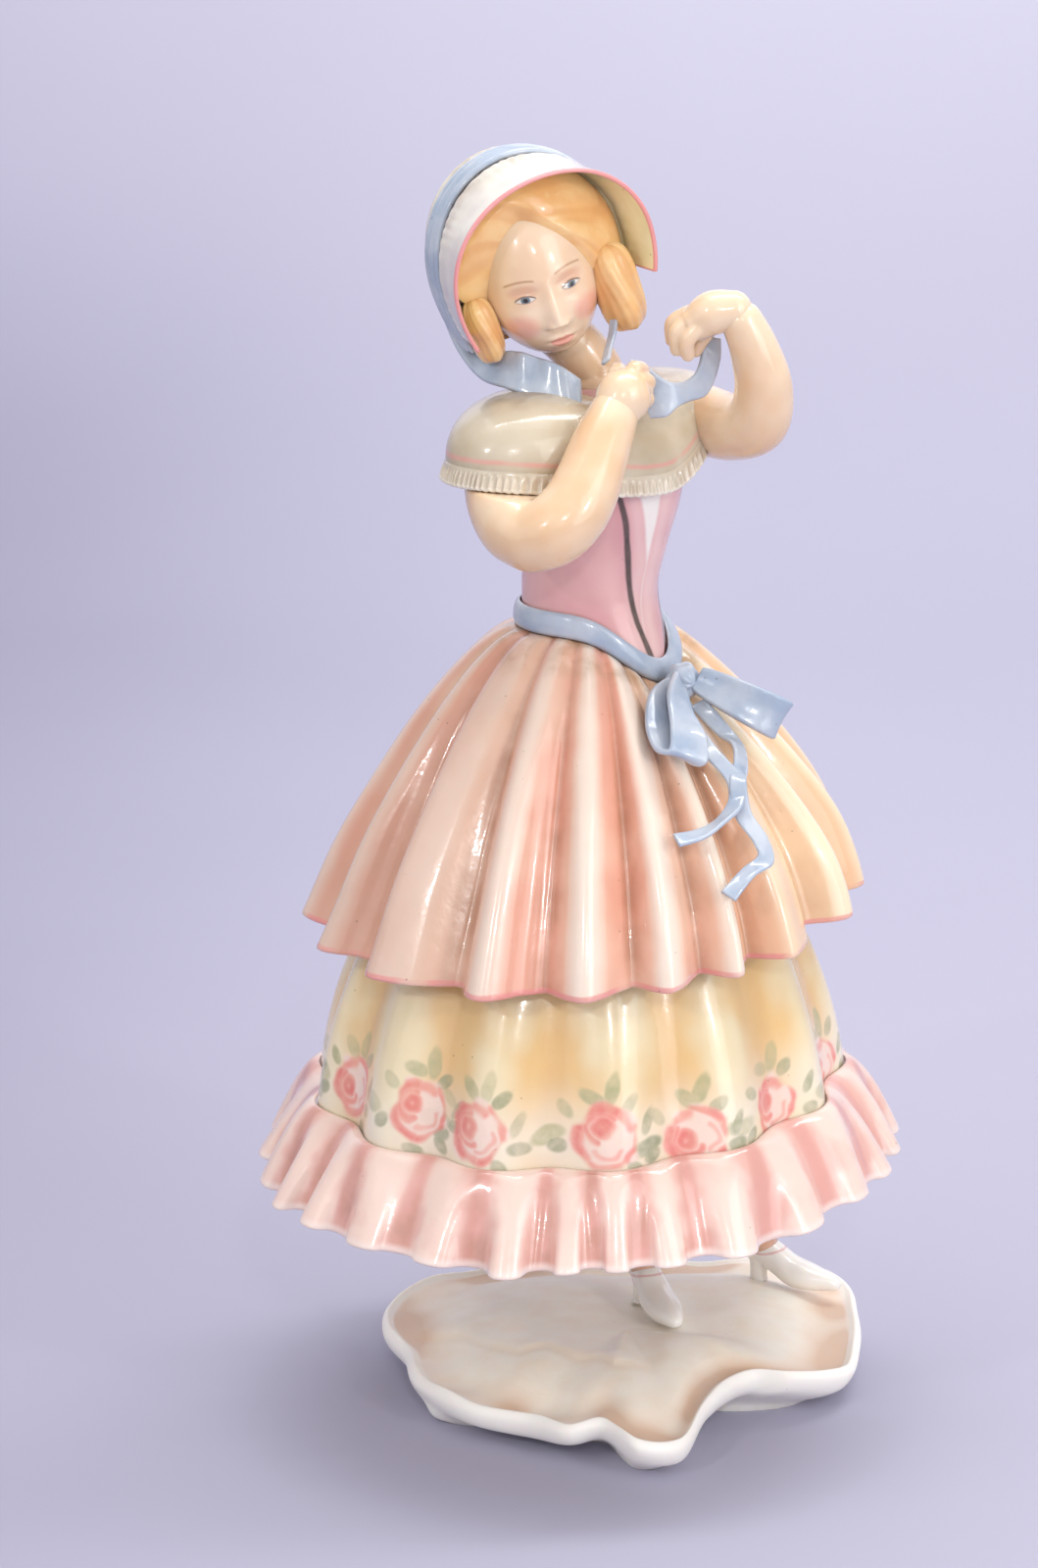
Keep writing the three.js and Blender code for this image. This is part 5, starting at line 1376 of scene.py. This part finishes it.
def make_right_hand():
    palm = [(-11.8, -15.8, 37.4), (-9.9, -15.8, 39.4), (-7.8, -15.4, 40.2)]
    return make_hand("neckline_hand", palm, [3.9, 4.5, 3.6], [
        ([(-8.2, -16.4, 43.4), (-5.6, -15.2, 42.6), (-5.2, -13.6, 40.6)], [1.5, 1.5, 1.3]),
        ([(-8.4, -17.6, 41.6), (-5.8, -16.8, 41), (-5, -15, 39.4)], [1.5, 1.5, 1.3]),
        ([(-9.2, -18, 39.4), (-6.8, -17.6, 38.6), (-6, -15.8, 37.6)], [1.4, 1.4, 1.2]),
        ([(-9.4, -13.4, 42.2), (-7.6, -12.2, 42.6), (-6, -12.2, 41.6)], [1.5, 1.4, 1.2]),
    ])


def make_left_hand():
    palm = [(6.4, -24.4, 52.2), (4.2, -21.6, 51.6), (2.8, -19.6, 50)]
    return make_hand("ribbon_hand", palm, [3.2, 3.6, 3], [
        ([(2.8, -18, 51.4), (1.4, -15.8, 49.6), (1.6, -15.4, 46.8)], [1.4, 1.4, 1.2]),
        ([(1.8, -19.4, 50.6), (0.2, -17.8, 48.6), (0.8, -17.2, 45.6)], [1.4, 1.4, 1.2]),
        ([(1.6, -21, 49.6), (0.4, -19.8, 47.4), (1.4, -19, 44.8)], [1.4, 1.3, 1.1]),
        ([(4.4, -20.4, 48.6), (4.4, -18.8, 46.6), (4.2, -18, 45)], [1.4, 1.3, 1.1]),
    ])


def skin_paint(brush):
    cloud = brush.noise(11, 2).step(0.3, 0.7)
    return brush.mix("efd5b7", "e6c09a", cloud)


# Head, hair and bonnet, built round the middle of the head with the face towards -Y

EYE_SIDE = 3.9
EYE_LEVEL = 0.0
NOSE_TIP = -5.1
MOUTH_LEVEL = -8.85


def head_shape(d):
    z = d[..., 2]
    low, face = np.maximum(-z, 0), np.maximum(-d[..., 1], 0)
    return 1 - 0.2 * low**1.5 * (1 - 0.35 * face) + 0.05 * bump(z, -0.86, 0.2) * face


def face_relief(x, z):
    """How far the calm, evenly proportioned face stands out from the plain head, in millimetres."""
    side = np.abs(x)
    sockets = -0.9 * bump(side, EYE_SIDE, 2.6) * bump(z, EYE_LEVEL + 0.4, 2)
    lids = 0.75 * bump(side, EYE_SIDE, 1.7) * bump(z, EYE_LEVEL + 0.1, 1.15)
    crease = -0.2 * bump(side, EYE_SIDE, 1.7) * bump(z, EYE_LEVEL + 1.15, 0.3)
    brow = 0.25 * bump(side, EYE_SIDE, 2.4) * bump(z, EYE_LEVEL + 2.7, 0.8)
    along = np.clip((1.6 - z) / (1.6 - NOSE_TIP), 0, 1)
    ridge = lerp(0.2, 2.3, along**1.4) * np.exp(-((x / lerp(1.1, 1.6, along)) ** 2))
    ridge = ridge * smoothstep(-z, -3.4, -1.2) * (1 - smoothstep(-z, -NOSE_TIP + 0.1, -NOSE_TIP + 1.3))
    wings = 0.7 * bump(side, 1.35, 0.62) * bump(z, NOSE_TIP - 0.4, 0.7)
    groove = -0.12 * bump(x, 0, 0.5) * bump(z, -7, 0.7)
    upper = 0.5 * np.exp(-((side / 2.2) ** 3)) * bump(z, MOUTH_LEVEL + 0.65, 0.48)
    lower = 0.6 * np.exp(-((side / 1.9) ** 3)) * bump(z, MOUTH_LEVEL - 0.65, 0.58)
    line = -0.35 * np.exp(-((side / 2.3) ** 4)) * bump(z, MOUTH_LEVEL, 0.24)
    chin = 0.8 * bump(x, 0, 2.8) * bump(z, -12.6, 1.6) - 0.35 * bump(x, 0, 2.2) * bump(z, -10.9, 0.6)
    cheeks = 0.5 * bump(side, 5.2, 2.4) * bump(z, -4.2, 2.6)
    return sockets + lids + crease + brow + ridge + wings + groove + upper + lower + line + chin + cheeks


def make_head():
    rows, d = egg_rows((0, 0, 0), HEAD_HALF, 230, 320, head_shape)
    forward = smoothstep(-d[..., 1], 0.15, 0.6)
    rows = rows - xyz(0, face_relief(rows[..., 0], rows[..., 2]) * forward, 0)
    return grid_piece("calm_head", rows, fields={"face": rows}, place=on_head)


def head_paint(brush):
    x, y, z = brush.fields("face")
    side = x.size()
    front = y.step(-4, -7)
    colour = brush.mix("f5dcc2", "eecaa8", brush.noise(9, 2).step(0.3, 0.7) * 0.7 + z.step(-8, -13) * 0.3)
    cheek = (((side - 5.6) / 3.4).power(2) + ((z + 4.9) / 3.1).power(2)).step(1, 0.05)
    colour = brush.mix(colour, "ef9f90", cheek * front * 0.6)
    lid = (((side - EYE_SIDE) / 2.9).power(2) + ((z - 1.3) / 1.5).power(2)).step(1, 0.1)
    colour = brush.mix(colour, "dfa58c", lid * front * 0.5)
    across = (side - EYE_SIDE) / 1.7
    arch = 1 - across * across
    white = (z - EYE_LEVEL + arch * 0.42).step(-0.08, 0.08) * (z - EYE_LEVEL - arch * 0.62).step(0.08, -0.08)
    white = white * arch.step(0, 0.15)
    colour = brush.mix(colour, "e6e2de", white * front * 0.9)
    iris = ((side - EYE_SIDE).power(2) + (z - EYE_LEVEL - 0.08).power(2)).power(0.5)
    colour = brush.mix(colour, "6f8190", iris.step(0.82, 0.62) * white * front)
    colour = brush.mix(colour, "2b2a2c", iris.step(0.45, 0.3) * white * front)
    lash = (z - EYE_LEVEL - arch * 0.62 - 0.06).near(0, 0.13) * arch.step(-0.12, 0.2)
    colour = brush.mix(colour, "5a4438", lash * front * 0.85)
    lower_lash = (z - EYE_LEVEL + arch * 0.45).near(0, 0.1) * arch.step(-0.05, 0.3)
    colour = brush.mix(colour, "b98e78", lower_lash * front * 0.6)
    sweep = (side - EYE_SIDE - 0.2) / 2.6
    brow = (z - 2.75 - (1 - sweep * sweep) * 0.5).near(0, 0.17) * (1 - sweep * sweep).step(0, 0.4)
    colour = brush.mix(colour, "b0825a", brow * front * 0.7)
    bow = (1 - (side / 2.15).power(2)).most(0)
    dip_in = side.step(0.7, 0) * 0.22
    lips = (z - MOUTH_LEVEL - bow * 0.95 + dip_in).step(0.1, -0.1) * (z - MOUTH_LEVEL + bow * 1.15).step(-0.14, 0.1)
    colour = brush.mix(colour, "e8978a", lips * bow.step(0, 0.3) * front * 0.75)
    parting = (z - MOUTH_LEVEL - 0.05).near(0, 0.1) * side.step(2.3, 1.8)
    colour = brush.mix(colour, "c46f62", parting * front * 0.5)
    nostril = ((side - 0.75) / 0.42).power(2) + ((z - NOSE_TIP + 1.0) / 0.22).power(2)
    colour = brush.mix(colour, "d69a86", nostril.step(1, 0.2) * front * 0.5)
    return colour


HAIR_END = -8.5


def hair_opening(x, z):
    """Below 1 the face shows, and from 1 outwards the hair covers the head."""
    return (np.abs(x + 0.6) / 9.2) ** 1.6 + np.maximum((z + 3) / 14.6, 0) ** 1.7


def fill_bonnet(rows, cover):
    """Puffs the hair out towards the bonnet's wall round the bonnet's mouth."""
    spin = np.array(Matrix.Rotation(math.radians(BONNET_TURN), 3, "Z"))
    local = rows @ spin
    across, up = local[..., 0], (local[..., 2] - BONNET_LIFT) / BONNET_TALL
    reach = np.maximum(np.hypot(across, up), 1e-6)
    ahead = smoothstep(-local[..., 1], 0.4, 3)
    room = BONNET_RADIUS - BONNET_WALL - 0.6 + 1.5 * ahead
    share = 0.98 * bump(local[..., 1], -2, 4.6) * smoothstep(local[..., 2], -9, -2) * cover
    grow = lerp(1, np.maximum(room / reach, 1), share * smoothstep(reach, 6, 10))
    local = xyz(across * grow, local[..., 1], up * grow * BONNET_TALL + BONNET_LIFT)
    return local @ spin.T


def make_hair():
    half = np.array(HEAD_HALF)
    rows, d = egg_rows((0, 0, 0), half, 260, 380, lambda d: 1 - 0.14 * np.maximum(-d[..., 2], 0))
    x, y, z = rows[..., 0], rows[..., 1], rows[..., 2]
    opening = np.where(y < 0, hair_opening(x, z), 9.0)
    cover = smoothstep(opening, 0.93, 1.1) * smoothstep(z, HAIR_END - 0.6, HAIR_END + 0.9)
    angle = np.degrees(np.arctan2(x + 0.6, z + 3))
    rings = np.hypot(x + 0.6, (z + 3) * 0.75)
    behind = smoothstep(y, -3, 4)
    front_phase = rings * 3.6 + 1.1 * np.sin(np.radians(angle) * 3 + 0.6) + 0.5 * np.sin(np.radians(angle) * 7)
    back_phase = np.arctan2(x, -z + 18) * 42 + 0.6 * np.sin(z * 0.5)
    phase = lerp(front_phase, back_phase, behind)
    strand = 0.5 + 0.5 * np.cos(phase + 0.8 * ripple(x, y, z, 8, 9))
    fine = 0.5 + 0.5 * np.cos(phase * 3.1 + 2 * ripple(x, y, z, 9, 4))
    height = HAIR_THICKNESS * (0.62 + 0.14 * strand + 0.04 * fine)
    puff = 0.3 * bump(opening, 1.22, 0.14)
    lift = lerp(-1.3, height + puff, cover)
    rows = rows + unit(d * (1 / half)) * lift[..., None]
    rows = fill_bonnet(rows, cover)
    fields = {"strand": strand * 0.75 + fine * 0.25, "rim": np.clip(opening, 0, 4), "face": rows}
    return grid_piece("parted_hair", rows, fields=fields, place=on_head)


def hair_paint(brush):
    strand = brush.field("strand")
    cloud = brush.noise(7, 3).step(0.3, 0.7)
    colour = brush.mix("f5cd94", "ecb476", cloud)
    colour = brush.mix(colour, "dfa063", (1 - strand).step(0.45, 1) * 0.5)
    streak = brush.noise(1.1, 3).step(0.5, 0.75)
    return brush.mix(colour, "f3d7a2", strand.step(0.6, 1) * streak * 0.4)


def make_ringlet(name, centre, half, twist):
    """A barrel curl: a squarish egg with a few broad, slanting waves."""

    def waves(d):
        angle = np.arctan2(d[..., 0], -d[..., 1])
        return 4 * angle + twist * d[..., 2] + 0.5 * np.sin(2 * angle + 3 * d[..., 2])

    def shape(d):
        flat = np.hypot(d[..., 0], d[..., 1])
        square = (flat**2.9 + np.abs(d[..., 2]) ** 2.9) ** (-1 / 2.9)
        ridges = 0.045 * np.cos(waves(d)) + 0.012 * np.cos(3.7 * waves(d))
        return 0.93 * square * (1 + ridges * (1 - d[..., 2] ** 4))

    rows, d = egg_rows(centre, half, 110, 140, shape)
    strand = 0.5 + 0.5 * np.cos(waves(d))
    return grid_piece(name, rows, fields={"strand": strand, "rim": strand, "face": rows}, place=on_head)


def bonnet_point(turn, radius, forward):
    """The bonnet's axis runs from its crown forwards; turn 0 is its top."""
    side = sind(turn)
    across = np.where(cosd(turn) < 0, np.sign(side) * np.sqrt(np.abs(side)), side)
    return xyz(radius * across, -forward, radius * cosd(turn) * BONNET_TALL + BONNET_LIFT)


NAPE_LEVEL = -8


def make_crown(columns=320, rows=70):
    turn = np.linspace(0, 360, columns, endpoint=False)[None]

    def dome(shares, wall, gathers):
        share = shares[:, None]
        pleat = gathers * bump(share, 0.04, 0.2) * np.cos(np.radians(turn) * 34 + 2 * np.sin(np.radians(turn) * 5))
        puff = CROWN_PUFF * smoothstep(share, 0.19, 0.29) * (0.4 + 0.6 * np.maximum(cosd(turn), 0))
        radius = (BONNET_RADIUS - wall - 0.3 + pleat) * np.cos(share * math.pi / 2) ** 0.6 * (1 + puff)
        return bonnet_point(turn, radius, -(CROWN_DEPTH - wall) * np.sin(share * math.pi / 2))

    outer = dome(np.linspace(0, 0.97, rows), 0, 0.14)
    inner = dome(np.linspace(0, 0.95, rows // 2), BONNET_WALL, 0)
    piece = grid_piece("mob_crown", np.concatenate([inner[::-1], outer]), place=on_bonnet)
    block = np.array([(x, y, z) for z in (NAPE_LEVEL - 30, NAPE_LEVEL) for x, y in ((-30, -30), (30, -30), (30, 30), (-30, 30))], float)
    carve(piece, grid_piece("nape_room", block.reshape(2, 4, 3), place=on_bonnet))
    return piece


def carve(piece, *rooms):
    """Cuts rooms out of a piece and takes the rooms away."""
    for room in rooms:
        cut = piece.modifiers.new("cut", "BOOLEAN")
        cut.operation = "DIFFERENCE"
        cut.solver = "EXACT"
        cut.object = room
        graph = bpy.context.evaluated_depsgraph_get()
        mesh = bpy.data.meshes.new_from_object(piece.evaluated_get(graph))
        mesh.shade_smooth()
        piece.modifiers.clear()
        piece.data = mesh
        bpy.data.objects.remove(room)


def make_band(rows=200, columns=13):
    turn = np.linspace(-128, 128, rows)[:, None]
    across = np.linspace(0, 1, columns)[None]
    ridge = 0.2 * np.cos(across * 4 * math.pi) * np.sin(math.pi * across) - 0.2
    reach = BONNET_RADIUS + RIBBON_THICKNESS / 2 + SEAT_GAP + ridge
    surface = bonnet_point(turn, reach, -BONNET_BAND_WIDTH * (1 - across))
    return grid_piece("bonnet_ribbon", sheet_rows(surface, RIBBON_THICKNESS), place=on_bonnet)


def make_brim(rows=260, columns=40):
    turn = np.linspace(-BRIM_SPREAD, BRIM_SPREAD, rows)[:, None]
    across = np.linspace(0, 1, columns)[None]
    edge = lerp(BRIM_TOP_RADIUS, BRIM_SIDE_RADIUS, sind(turn) ** 2)
    gather = 0.07 * (1 - across) ** 3 * np.cos(np.radians(turn) * 46 + 3 * np.sin(np.radians(turn) * 7))
    radius = lerp(BONNET_RADIUS - BONNET_WALL / 2, edge, across**0.8) + gather
    radius = radius + 1.1 * smoothstep(across, 0, 0.14) * (1 - across) ** 3
    forward = BRIM_REACH * across - 3 * across * (turn / BRIM_SPREAD) ** 2
    surface = bonnet_point(turn, radius, forward + SEAT_GAP + 0.3)
    sheet = sheet_rows(surface, lerp(BONNET_WALL, 0.7, across)[..., None])
    outward = sheet[:, : columns] - surface
    middle = bonnet_point(turn, 0, 0)
    faces_out = np.sum(outward[rows // 2] * (surface[rows // 2] - middle[rows // 2]), -1).mean() > 0
    shares = np.concatenate([across[0], [1, 1, 1], across[0][::-1], [0, 0, 0]])
    under = np.concatenate([np.zeros(columns), [0, 0.5, 1], np.ones(columns), [1, 0.5, 0]])
    under = under if faces_out else 1 - under
    spread = np.ones((rows, 1))
    ends = np.abs(turn) * np.ones_like(shares)[None]
    fields = {"rim": spread * shares[None], "inside": spread * under[None], "ends": ends}
    return grid_piece("bonnet_visor", sheet, fields=fields, place=on_bonnet)


def brim_paint(brush):
    rim, inside, ends = brush.field("rim"), brush.field("inside"), brush.field("ends")
    cloud = brush.noise(6, 3).step(0.3, 0.7)
    outer = brush.mix("e6e1d6", "d6cec6", cloud)
    # Brown dust patches on the top of the brim near the band
    brown_patches = rim.step(0.4, 0.1) * brush.noise(2.5, 4).step(0.4, 0.7) * ends.step(75, 40)
    outer = brush.mix(outer, "a58e78", brown_patches * 0.5)
    lining = brush.mix("fbf8d4", "f3efc2", cloud)
    colour = brush.mix(outer, lining, inside.step(0.45, 0.55))
    edge = rim.step(0.972, 0.99).most(ends.step(BRIM_SPREAD - 1.4, BRIM_SPREAD - 0.6))
    return brush.mix(colour, "ea8f92", edge * 0.9)


def crown_paint(brush):
    cloud = brush.noise(8, 3).step(0.3, 0.7)
    return brush.mix("ddd6c9", "c9bfb0", cloud)


# Bonnet ribbons, drawn between an upper and a lower edge

TIE_RIGHT_UPPER = [
    (-13.4, 16.6, 50.6), (-14.6, 12.8, 46.6), (-15.2, 8.5, 43.9), (-15, 4.1, 44.3), (-14.2, 0.3, 43.8),
    (-12.4, -3.8, 42.6), (-11.4, -7.2, 40.8),
]
TIE_RIGHT_LOWER = [
    (-16.6, 18.6, 49.6), (-17.6, 13.5, 43.8), (-17.3, 8.9, 40.2), (-17.3, 3.1, 39.4), (-15.9, -1.1, 38.2),
    (-13.8, -6, 35.8), (-12.4, -9, 35.4),
]
TIE_LEFT = [(-2.2, -6, 50.2), (-3.9, -7.4, 48), (-7.4, -9.6, 45.2), (-9.2, -11, 44.2)]
TIE_LEFT_LAY = (0.4, -0.6, 0.7)
TIE_LOOP_UPPER = [
    (-5.6, -13.2, 44), (-4.6, -15.6, 43), (-2.5, -18.7, 40.6), (0.7, -19.1, 40.3), (3.4, -19.2, 41.6),
    (5.6, -18.6, 45), (6.2, -18.4, 47.4),
]
TIE_LOOP_LOWER = [
    (-5.2, -16.9, 35.6), (-3.6, -18.9, 36), (-1.7, -19.5, 37.3), (0.9, -19.6, 37.9), (4.6, -20, 38.6),
    (7.4, -20, 43.6), (7.6, -19.8, 47),
]

# The pieces, each with its finish and the frame node it stands for

WHITE = glaze("white glaze", base_paint, dust=0.15, speck=0.2, roughness=0.45, coat=0.12, scatter=0.25, mottle=0, ior=1.3)
SHOE = glaze("shoe glaze", shoe_paint, dust=0.2)
STOCKING = glaze("stocking glaze", stocking_paint, dust=0.5)
OVERSKIRT = glaze("overskirt glaze", overskirt_paint, dust=0.8)
UNDERSKIRT = glaze("underskirt glaze", underskirt_paint, dust=0.5)
FRILL = glaze("frill glaze", frill_paint, dust=0.55)
ROSE = glaze("bodice glaze", bodice_paint, dust=0.3, speck=0.2)
BLUE = glaze("ribbon glaze", blue_paint, dust=0.3)
COLLAR = glaze("collar glaze", collar_paint, dust=0.8)
CRIMPED = glaze("crimped edge glaze", collar_frill_paint, dust=0.7)
SKIN = glaze("skin glaze", skin_paint, dust=0.3, speck=0.2, scatter=0.2)
FACE = glaze("face glaze", head_paint, dust=0.25, speck=0.0, scatter=0.2)
HAIR = glaze("hair glaze", hair_paint, dust=0.15, speck=0.1)
BRIM = glaze("brim glaze", brim_paint, dust=0.15)
CROWN = glaze("crown glaze", crown_paint, dust=0.3)

finish(make_base(), WHITE, "white_glaze", "base")
finish(make_shoe("pointed_right_shoe", RIGHT_SHOE), SHOE, "white_glaze", "right_shoe")
finish(make_shoe("pointed_left_shoe", LEFT_SHOE), SHOE, "white_glaze", "left_shoe")
finish(make_leg("right_stocking", RIGHT_SHOE, -1), STOCKING, "stocking_glaze", "right_leg")
finish(make_leg("left_stocking", LEFT_SHOE, 1), STOCKING, "stocking_glaze", "left_leg")
finish(make_underskirt(), UNDERSKIRT, "cream_glaze", "underskirt")
finish(make_overskirt(), OVERSKIRT, "peach_glaze", "overskirt")
finish(make_frill(), FRILL, "pink_glaze", "hem_frill")
finish(make_bodice(), ROSE, "rose_glaze", "bodice")
finish(make_sash_band(), BLUE, "blue_glaze", "sash_band")
finish(make_knot(), BLUE, "blue_glaze", "sash_knot")
finish(make_hanging_loop(), BLUE, "blue_glaze", "bow_loop_right")
finish(make_standing_loop(), BLUE, "blue_glaze", "bow_loop_left")
finish(make_tail("right_sash_end", TAIL_RIGHT, (60, 40, 20, 10, 30, 60, 80, 60, 40)), BLUE, "blue_glaze", "sash_tail_right")
finish(make_tail("left_sash_end", TAIL_LEFT, (60, 30, 10, 20, 50, 30, 10, 30, 60, 40)), BLUE, "blue_glaze", "sash_tail_left")
finish(make_collar(), COLLAR, "ivory_glaze", "cape_collar")
finish(make_collar_frill(), CRIMPED, "ivory_glaze", "collar_frill")
finish(make_right_arm(), SKIN, "skin_glaze", "right_arm")
finish(make_right_hand(), SKIN, "skin_glaze", "right_hand")
finish(make_left_arm(), SKIN, "skin_glaze", "left_arm")
finish(make_left_hand(), SKIN, "skin_glaze", "left_hand")
finish(make_neck(), SKIN, "skin_glaze", "neck")
finish(make_head(), FACE, "skin_glaze", "head")
finish(make_hair(), HAIR, "hair_glaze", "hair")
finish(make_ringlet("right_curl", (-11.2, -4.4, -4), (2.8, 3.6, 6), 1.5), HAIR, "hair_glaze", "right_ringlet")
finish(make_ringlet("left_curl", (11.4, -4.4, -5), (4, 4.4, 8), 1.2), HAIR, "hair_glaze", "left_ringlet")
finish(make_crown(), CROWN, "ivory_glaze", "bonnet_crown")
finish(make_brim(), BRIM, "ivory_glaze", "bonnet_brim")
finish(make_band(), BLUE, "blue_glaze", "bonnet_band")
finish(strip_between("right_bonnet_ribbon", TIE_RIGHT_UPPER, TIE_RIGHT_LOWER, ruffle=0.3), BLUE, "blue_glaze", "bonnet_tie_right")
finish(
    ribbon_piece("left_bonnet_ribbon", TIE_LEFT, [TIE_LEFT_LAY] * 4, TIE_STRAND_WIDTH * 0.8, 40, thickness=0.7),
    BLUE, "blue_glaze", "bonnet_tie_left",
)
finish(strip_between("looped_bonnet_ribbon", TIE_LOOP_UPPER, TIE_LOOP_LOWER), BLUE, "blue_glaze", "tie_loop")

# Stage, lights and camera


def make_stage():
    """A floor that curves up into a backdrop, whose paper carries painted light and shade."""
    depth, height, bend = 0.55, 1.1, 0.35
    angles = np.linspace(0, 90, 24)
    profile = [(-1.6, 0.0), *[(depth + bend * sind(a), bend * (1 - cosd(a))) for a in angles], (depth + bend, height)]
    verts = [(x, y, z) for y, z in profile for x in (-1.6, 1.6)]
    faces = [(2 * i, 2 * i + 1, 2 * i + 3, 2 * i + 2) for i in range(len(profile) - 1)]
    mesh = bpy.data.meshes.new("cove")
    mesh.from_pydata([(float(x), float(y), float(z)) for x, y, z in verts], [], faces)
    mesh.shade_smooth()
    cove = bpy.data.objects.new("cove", mesh)
    bpy.context.scene.collection.objects.link(cove)
    material = bpy.data.materials.new("paper")
    material.use_nodes = True
    brush = Brush(material)
    shader = material.node_tree.nodes["Principled BSDF"]
    across, _, height = brush.axes()
    # Painted light: the floor is darker and the wall lighter, as if the wall were lit more
    wall = height.step(0.02, 0.55)
    tone = brush.mix("aba9bd", "f5f5ff", wall)
    # Painted shadow over the lower left of the wall and the floor, deeper on the floor at the far left
    shade = across.step(0.08, -0.3) * height.step(0.42, 0.1)
    tone = brush.mix(tone, "9a96ae", shade * 0.55)
    tone = brush.mix(tone, "7b778f", across.step(0.02, -0.26) * height.step(0.12, 0.0) * 0.65)
    tone = brush.mix(tone, "dad8ea", brush.noise(160, 2) * 0.1)
    material.node_tree.links.new(tone, shader.inputs["Base Color"])
    shader.inputs["Roughness"].default_value = 0.8
    cove.data.materials.append(material)


def area_light(name, place, target, width, height, power, colour=(1, 1, 1)):
    lamp = bpy.data.lights.new(name, "AREA")
    lamp.shape = "RECTANGLE"
    lamp.size, lamp.size_y = width, height
    lamp.energy = power
    lamp.color = colour
    holder = bpy.data.objects.new(name, lamp)
    holder.location = place
    holder.rotation_euler = (Vector(target) - Vector(place)).to_track_quat("-Z", "Y").to_euler()
    bpy.context.scene.collection.objects.link(holder)


def make_camera():
    """The view of the photo: 15 degrees above the horizon, 0.8 m from the middle of the figure."""
    view = bpy.data.cameras.new("camera")
    view.sensor_width = 36
    view.lens = 110.34
    holder = bpy.data.objects.new("camera", view)
    target, distance, above = Vector((-0.0126, 0, 0.1098)), 0.8, math.radians(15)
    holder.location = target + Vector((0, -math.cos(above), math.sin(above))) * distance
    holder.rotation_euler = (math.radians(90) - above, 0, 0)
    bpy.context.scene.collection.objects.link(holder)
    bpy.context.scene.camera = holder


make_stage()
middle = (-0.01, 0, 0.12)
area_light("left softbox", (-0.85, -0.7, 0.55), middle, 0.9, 1.0, 1.5)
area_light("right softbox", (0.75, -0.75, 0.5), middle, 0.7, 0.9, 3.8)
area_light("top softbox", (0, 0.1, 1.1), middle, 0.9, 0.9, 2.6)
area_light("backdrop light", (0.25, 0.15, 1.3), (0.1, 0.9, 0.4), 1.2, 0.3, 10)
area_light("front flash", (0.05, -0.95, 0.55), middle, 0.04, 0.04, 1.1)
area_light("left flash", (-0.55, -0.8, 0.6), middle, 0.05, 0.05, 1.1)
area_light("right flash", (0.6, -0.7, 0.45), middle, 0.04, 0.06, 1.0)
world = bpy.data.worlds.new("studio")
world.use_nodes = True
world.node_tree.nodes["Background"].inputs[0].default_value = (1, 0.985, 0.975, 1)
world.node_tree.nodes["Background"].inputs[1].default_value = 0.65
bpy.context.scene.world = world
bpy.context.scene.view_settings.view_transform = "Standard"
make_camera()
